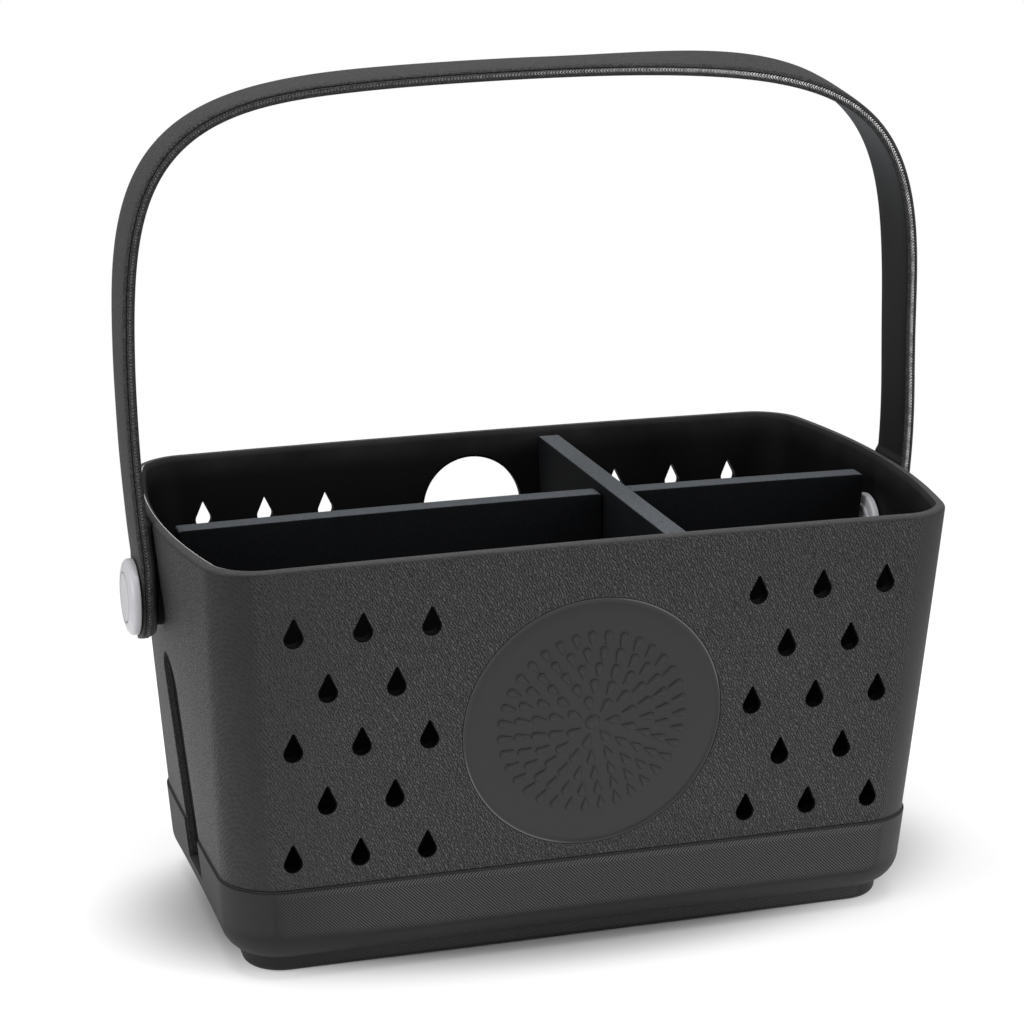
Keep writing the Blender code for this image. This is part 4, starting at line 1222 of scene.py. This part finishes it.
def make_strap(tub, openings, strap, finishes):
    """Strap handle: its section carried along the arch, with the stems' holes cut out."""
    x, rise, out_x, out_z, run = strap_line(tub, openings, strap)
    grip = ease((rise - strap.spring_rise) / (strap.rise - strap.spring_rise))
    below = np.clip(-rise / strap.tab_drop, 0, 1)
    closing_share = 0.0005
    round_end = np.sqrt(np.clip(1 - below ** 2, closing_share, 1))
    half = between(strap.width, strap.grip_width, grip) / 2 * round_end
    thin = ease((rise - strap.tab_rise) / strap.tab_ramp)
    drawn = strap.draw * ease((below - strap.draw_from) / (1 - strap.draw_from))
    thick = between(strap.tab_thickness, strap.thickness, thin) * (1 - drawn)
    across, depth = strap_section(strap, half, thick, strap.bead * thin)
    follow = {"run": np.broadcast_to(run[:, None], depth.shape), "depth": depth}

    part = 1 - run / run[-1]
    turn = (strap.twist * hump(part, strap.twist_place, strap.twist_reach)
            + strap.back_twist * hump(part, strap.back_place, strap.back_reach))[:, None]
    middle = thick[:, None] / 2
    across, depth = across * np.cos(turn) - (depth - middle) * np.sin(turn), \
        middle - across * np.sin(turn) + (depth - middle) * np.cos(turn)
    x = x - strap.lean * ease((rise - strap.tab_rise) / (strap.lean_rise - strap.tab_rise))
    level = pivot_height(tub, openings) + rise \
        - strap.sag * hump(part, strap.sag_place, strap.sag_reach)
    grid = np.stack([x[:, None] - out_x[:, None] * depth, across,
                     level[:, None] - out_z[:, None] * depth], -1)
    mesh = mesh_of("strap_blank", [grid])
    for name, values in follow.items():
        attribute = mesh.attributes.new(name, "FLOAT", "POINT")
        attribute.data.foreach_set("value", values.astype(np.float32).ravel())
    holes = mesh_of("strap_holes", stem_bores(tub, openings))
    carved = carve("strap", mesh, [("DIFFERENCE", holes)], 1)
    add_piece("strap", carved, [strap_foam(finishes, strap, run[-1])], "handle",
              ["strap_handle"], 50)


def button_profile(openings, button, stem):
    """Stem, flat underside, full round rim, face with a fine ring groove and a dished middle."""
    radius, rim, edge = openings.stem_diameter / 2, button.diameter / 2, button.edge
    ring, width = button.ring_diameter / 2, button.ring_width
    face, under_edge = button.height - button.face_drop, button.under_edge
    under = arc((rim - under_edge, under_edge), under_edge, -90, 0, 4)
    over = arc((rim - edge, button.height - button.shoulder - edge), edge, 0, 78, 10)
    start_r, start_h = over[-1]
    slope = [[between(start_r, ring + width, t), between(start_h, face, 1 - (1 - t) ** 2)]
             for t in np.linspace(0, 1, 8)[1:]]
    lip, bottom = face - button.ring_lip, face - button.ring_depth
    groove = [[ring + width / 2, lip], [ring + width / 4, bottom],
              [ring - width / 4, bottom], [ring - width / 2, lip]]
    steepness, closing_share = 1.6, 0.005
    middle = [[(ring - width) * (1 - t), face - button.dish * ease(steepness * t)]
              for t in np.linspace(0, 1 - closing_share, 14)]
    shank = [[POLE, -stem], [radius - button.stem_edge, -stem], [radius, button.stem_edge - stem],
             [radius, 0]]
    return np.concatenate([shank, under, over, slope, groove, middle])


def cap_profile(openings, button, socket_tilt):
    """Disc with a blind socket in its back, a rounded edge, a raised ring and a dished middle."""
    rim, top, edge = button.cap_diameter / 2, button.cap_thickness, button.cap_edge
    socket = openings.stem_diameter / 2 + openings.clearance + socket_tilt
    ring, half = button.cap_ring_diameter / 2, button.cap_ring_width / 2
    back = [[POLE, button.cap_socket], [socket, button.cap_socket], [socket, 0],
            [rim - button.cap_back_edge, 0], [rim, button.cap_back_edge]]
    corner = arc((rim - edge, top - edge), edge, 0, 90, 6)
    raised = [[ring + half * math.cos(t), top + button.cap_ring_height * math.sin(t)]
              for t in np.linspace(0, math.pi, 12)]
    dish = [[button.cap_dish_radius, top - button.cap_dish_rim], [POLE, top - button.cap_dish]]
    return np.concatenate([back, corner, raised, dish])


def make_fastenings(tub, openings, strap, button, finishes):
    """A button with its stem outside each end, and a cap over the stem inside it."""
    pivot, slope = pivot_height(tub, openings), end_slope(tub)
    lean = math.atan(slope)
    under_head = tab_face_x(tub, openings, strap) + openings.clearance
    inner_depth = half_depth(tub, pivot) - tub.wall
    hollow = end_bow(tub, pivot) * (button.cap_diameter / 2 / inner_depth) ** 2
    cap_back = half_length(tub, pivot) - tub.wall - openings.clearance - hollow
    stem_end = cap_back - button.cap_socket + openings.stem_diameter / 2 * slope + openings.clearance
    head = button_profile(openings, button, under_head - stem_end)
    cap = cap_profile(openings, button, button.cap_socket * slope)
    material = pale_plastic(finishes, pivot, button.ring_diameter, button.ring_width)
    for side, label in ((-1, "left"), (1, "right")):
        def outside(u, v, h, side=side):
            return side * (under_head + h), u, pivot + v

        def inside(u, v, h, side=side):
            along = v * math.sin(lean) - h * math.cos(lean)
            return side * (cap_back + along), u, pivot + v * math.cos(lean) + h * math.sin(lean)

        for name, profile, place, node in (("button_face", head, outside, "button"),
                                           ("cap_face", cap, inside, "inner_cap")):
            mesh = mesh_of(f"{name}_{label}", [turned(profile, place)])
            add_piece(mesh.name, mesh, [material], "tub", [f"{node}_{label}"])


def board_profile(thickness, edge):
    """Rounded edge of a board as (spread, depth), from one face to the other."""
    half = thickness / 2
    return np.concatenate([arc((-edge, edge - half), edge, -90, 0, 4),
                           arc((-edge, half - edge), edge, 0, 90, 4)])


def make_boards(tub, openings, boards, finishes):
    """Two half-lapped boards: the cross board's slot is open below and the long one's above."""
    material = board_foam(finishes)
    foot = tub.floor_top + openings.clearance
    cross_top, long_top = tub.height - boards.cross_drop, tub.height - boards.long_drop
    lap = (foot + long_top) / 2
    slot = boards.thickness / 2 + boards.slide_gap
    fillet = tub.floor_fillet
    profile = board_profile(boards.thickness, boards.edge)

    gap = tub.wall + boards.slide_gap
    half = [(slot, lap + openings.clearance), (slot, foot),
            (half_depth(tub, foot) - gap - fillet, foot),
            (half_depth(tub, foot + fillet) - gap, foot + fillet),
            (half_depth(tub, cross_top) - gap, cross_top)]
    outline = np.array(half + [(-y, z) for y, z in reversed(half)])
    outline = rounded(outline, boards.corner)
    grid = carried(outline, profile, lambda u, v, d: (boards.cross_x + d, u, v))
    add_piece("cross_board_foam", mesh_of("cross_board_foam", [grid]), [material], "cross_board",
              ["cross_divider"])

    gap = tub.wall + boards.long_end_gap
    end_top = long_top - boards.long_crown
    reach = half_length(tub, end_top) - gap
    corner = max(fillet - boards.long_end_gap + boards.slide_gap, openings.clearance)
    left, right = boards.cross_x - slot, boards.cross_x + slot
    low = half_length(tub, foot) - gap - corner
    side = half_length(tub, foot + corner) - gap
    tops = [(x, long_top - boards.long_crown * (x / reach) ** 2) for x in
            [*np.linspace(reach, right, 8), *np.linspace(left, -reach, 14)]]
    outline = np.array([(-low, foot), (low, foot), (side, foot + corner)] + tops[:8]
                       + [(right, lap), (left, lap)] + tops[8:] + [(-side, foot + corner)])
    outline = rounded(outline, boards.corner)
    grid = carried(outline, profile, lambda u, v, d: (u, d, v))
    add_piece("long_board_foam", mesh_of("long_board_foam", [grid]), [material], "long_board",
              ["long_divider"])


# Softboxes, named as their powers are in the settings: place, aim and size, in metres.
SOFTBOXES = {
    "left_softbox": ((-1.5, -0.35, 0.75), (0, 0, 0.12), (0.9, 0.9)),
    "top_softbox": ((-0.1, -0.1, 1.6), (0, 0, 0.1), (1.1, 0.8)),
    "right_strip": ((1.1, -1.0, 0.7), (0, 0, 0.2), (0.25, 0.8)),
}


def add_softbox(name, place, aim, size, power):
    """Area light that faces its aim."""
    lamp = bpy.data.lights.new(name, "AREA")
    lamp.shape = "RECTANGLE"
    lamp.size, lamp.size_y = size
    lamp.energy = power
    item = add_object(name, lamp)
    item.location = place
    item.rotation_euler = (Vector(aim) - Vector(place)).to_track_quat("-Z", "Y").to_euler()


def add_surround(studio):
    """White backdrop to look at, and a softer light from all round."""
    world = bpy.data.worlds.new("studio_white")
    world.use_nodes = True
    nodes, links = world.node_tree.nodes, world.node_tree.links
    seen = nodes.new("ShaderNodeLightPath")
    backdrop, mixed = nodes.new("ShaderNodeBackground"), nodes.new("ShaderNodeMixShader")
    surround = nodes["Background"]
    for background, strength in ((surround, studio.surround), (backdrop, studio.backdrop)):
        background.inputs["Color"].default_value = (1.0, 1.0, 1.0, 1.0)
        background.inputs["Strength"].default_value = strength
    links.new(seen.outputs["Is Camera Ray"], mixed.inputs[0])
    links.new(surround.outputs[0], mixed.inputs[1])
    links.new(backdrop.outputs[0], mixed.inputs[2])
    links.new(mixed.outputs[0], nodes["World Output"].inputs["Surface"])
    return world


def add_camera(studio):
    """Camera turned by azimuth, elevation and roll."""
    azimuth, elevation, roll = studio.azimuth, studio.elevation, studio.roll
    level = Vector((math.sin(azimuth), math.cos(azimuth), 0))
    ahead = level * math.cos(elevation) + Vector((0, 0, math.sin(elevation)))
    right = Vector((math.cos(azimuth), -math.sin(azimuth), 0))
    up = right.cross(ahead)
    turned_right = right * math.cos(roll) + up * math.sin(roll)
    turned_up = up * math.cos(roll) - right * math.sin(roll)
    camera = bpy.data.cameras.new("camera")
    camera.lens = studio.lens
    camera.clip_start = studio.near_clip
    item = add_object("camera", camera)
    turn = Matrix((turned_right, turned_up, -ahead)).transposed().to_4x4()
    item.matrix_world = Matrix.Translation((studio.camera_x, studio.camera_y, studio.camera_z)) @ turn
    bpy.context.scene.camera = item


def add_floor(studio, finishes):
    """Plain floor, a flat square whose paper fades out into the backdrop."""
    mesh = bpy.data.meshes.new("floor")
    corners = [(x * studio.floor_reach, y * studio.floor_reach, -studio.floor_drop)
               for x, y in ((-1, -1), (1, -1), (1, 1), (-1, 1))]
    mesh.from_pydata(corners, [], [(0, 1, 2, 3)])
    mesh.materials.append(floor_paper(finishes))
    add_object("floor", mesh)


def settings(scene, *names):
    """The scene's own settings of those names."""
    return [getattr(scene, f"caddy_{name}") for name in names]


class CADDY_OT_tub(Operator):
    """Build the tub shell with its vents, holes, recesses and pivot seats"""

    bl_idname = "caddy.build_tub"
    bl_label = "Tub"

    def execute(self, context):
        make_tub(*settings(context.scene, "tub", "openings", "strap", "panel", "finishes"))
        return {"FINISHED"}


class CADDY_OT_panel(Operator):
    """Build the round front panel with its rosette"""

    bl_idname = "caddy.build_panel"
    bl_label = "Front panel"

    def execute(self, context):
        make_panel(*settings(context.scene, "tub", "panel", "finishes"))
        return {"FINISHED"}


class CADDY_OT_strap(Operator):
    """Build the strap handle"""

    bl_idname = "caddy.build_strap"
    bl_label = "Strap handle"

    def execute(self, context):
        make_strap(*settings(context.scene, "tub", "openings", "strap", "finishes"))
        return {"FINISHED"}


class CADDY_OT_fastenings(Operator):
    """Build the buttons and the inner caps"""

    bl_idname = "caddy.build_fastenings"
    bl_label = "Buttons and caps"

    def execute(self, context):
        make_fastenings(*settings(context.scene, "tub", "openings", "strap", "button", "finishes"))
        return {"FINISHED"}


class CADDY_OT_boards(Operator):
    """Build the two half-lapped dividers"""

    bl_idname = "caddy.build_boards"
    bl_label = "Dividers"

    def execute(self, context):
        make_boards(*settings(context.scene, "tub", "openings", "boards", "finishes"))
        return {"FINISHED"}


class CADDY_OT_studio(Operator):
    """Add the floor, the surround, the softboxes and the camera"""

    bl_idname = "caddy.build_studio"
    bl_label = "Studio"

    def execute(self, context):
        scene = context.scene
        studio, finishes = settings(scene, "studio", "finishes")
        add_floor(studio, finishes)
        add_camera(studio)
        scene.world = add_surround(studio)
        scene.view_settings.view_transform = "Standard"
        for name, (place, aim, size) in SOFTBOXES.items():
            add_softbox(name, place, aim, size, getattr(studio, name))
        return {"FINISHED"}


class CADDY_PT_sidebar(Panel):
    """Sidebar page that lists the caddy's build steps and settings"""

    bl_idname = "CADDY_PT_sidebar"
    bl_label = "Foam Bath Caddy"
    bl_space_type = "VIEW_3D"
    bl_region_type = "UI"
    bl_category = "Caddy"

    def draw(self, context):
        layout = self.layout
        for operator in BUILD_STEPS:
            layout.operator(operator.bl_idname)
        for group in GROUPS:
            box = layout.box()
            box.label(text=group.__name__)
            for key in group.__annotations__:
                box.prop(getattr(context.scene, GROUPS[group]), key)


GROUPS = {
    TubSizes: "caddy_tub",
    OpeningSizes: "caddy_openings",
    PanelSizes: "caddy_panel",
    StrapSizes: "caddy_strap",
    ButtonSizes: "caddy_button",
    BoardSizes: "caddy_boards",
    Finishes: "caddy_finishes",
    StudioSettings: "caddy_studio",
}
BUILD_STEPS = (CADDY_OT_tub, CADDY_OT_panel, CADDY_OT_strap, CADDY_OT_fastenings, CADDY_OT_boards,
               CADDY_OT_studio)


def register():
    for group, key in GROUPS.items():
        bpy.utils.register_class(group)
        setattr(bpy.types.Scene, key, PointerProperty(type=group))
    for step in (*BUILD_STEPS, CADDY_PT_sidebar):
        bpy.utils.register_class(step)


def unregister():
    for step in reversed((*BUILD_STEPS, CADDY_PT_sidebar)):
        bpy.utils.unregister_class(step)
    for group, key in reversed(GROUPS.items()):
        delattr(bpy.types.Scene, key)
        bpy.utils.unregister_class(group)


def main():
    register()
    bpy.ops.caddy.build_tub()
    bpy.ops.caddy.build_panel()
    bpy.ops.caddy.build_strap()
    bpy.ops.caddy.build_fastenings()
    bpy.ops.caddy.build_boards()
    bpy.ops.caddy.build_studio()


if __name__ == "__main__":
    main()
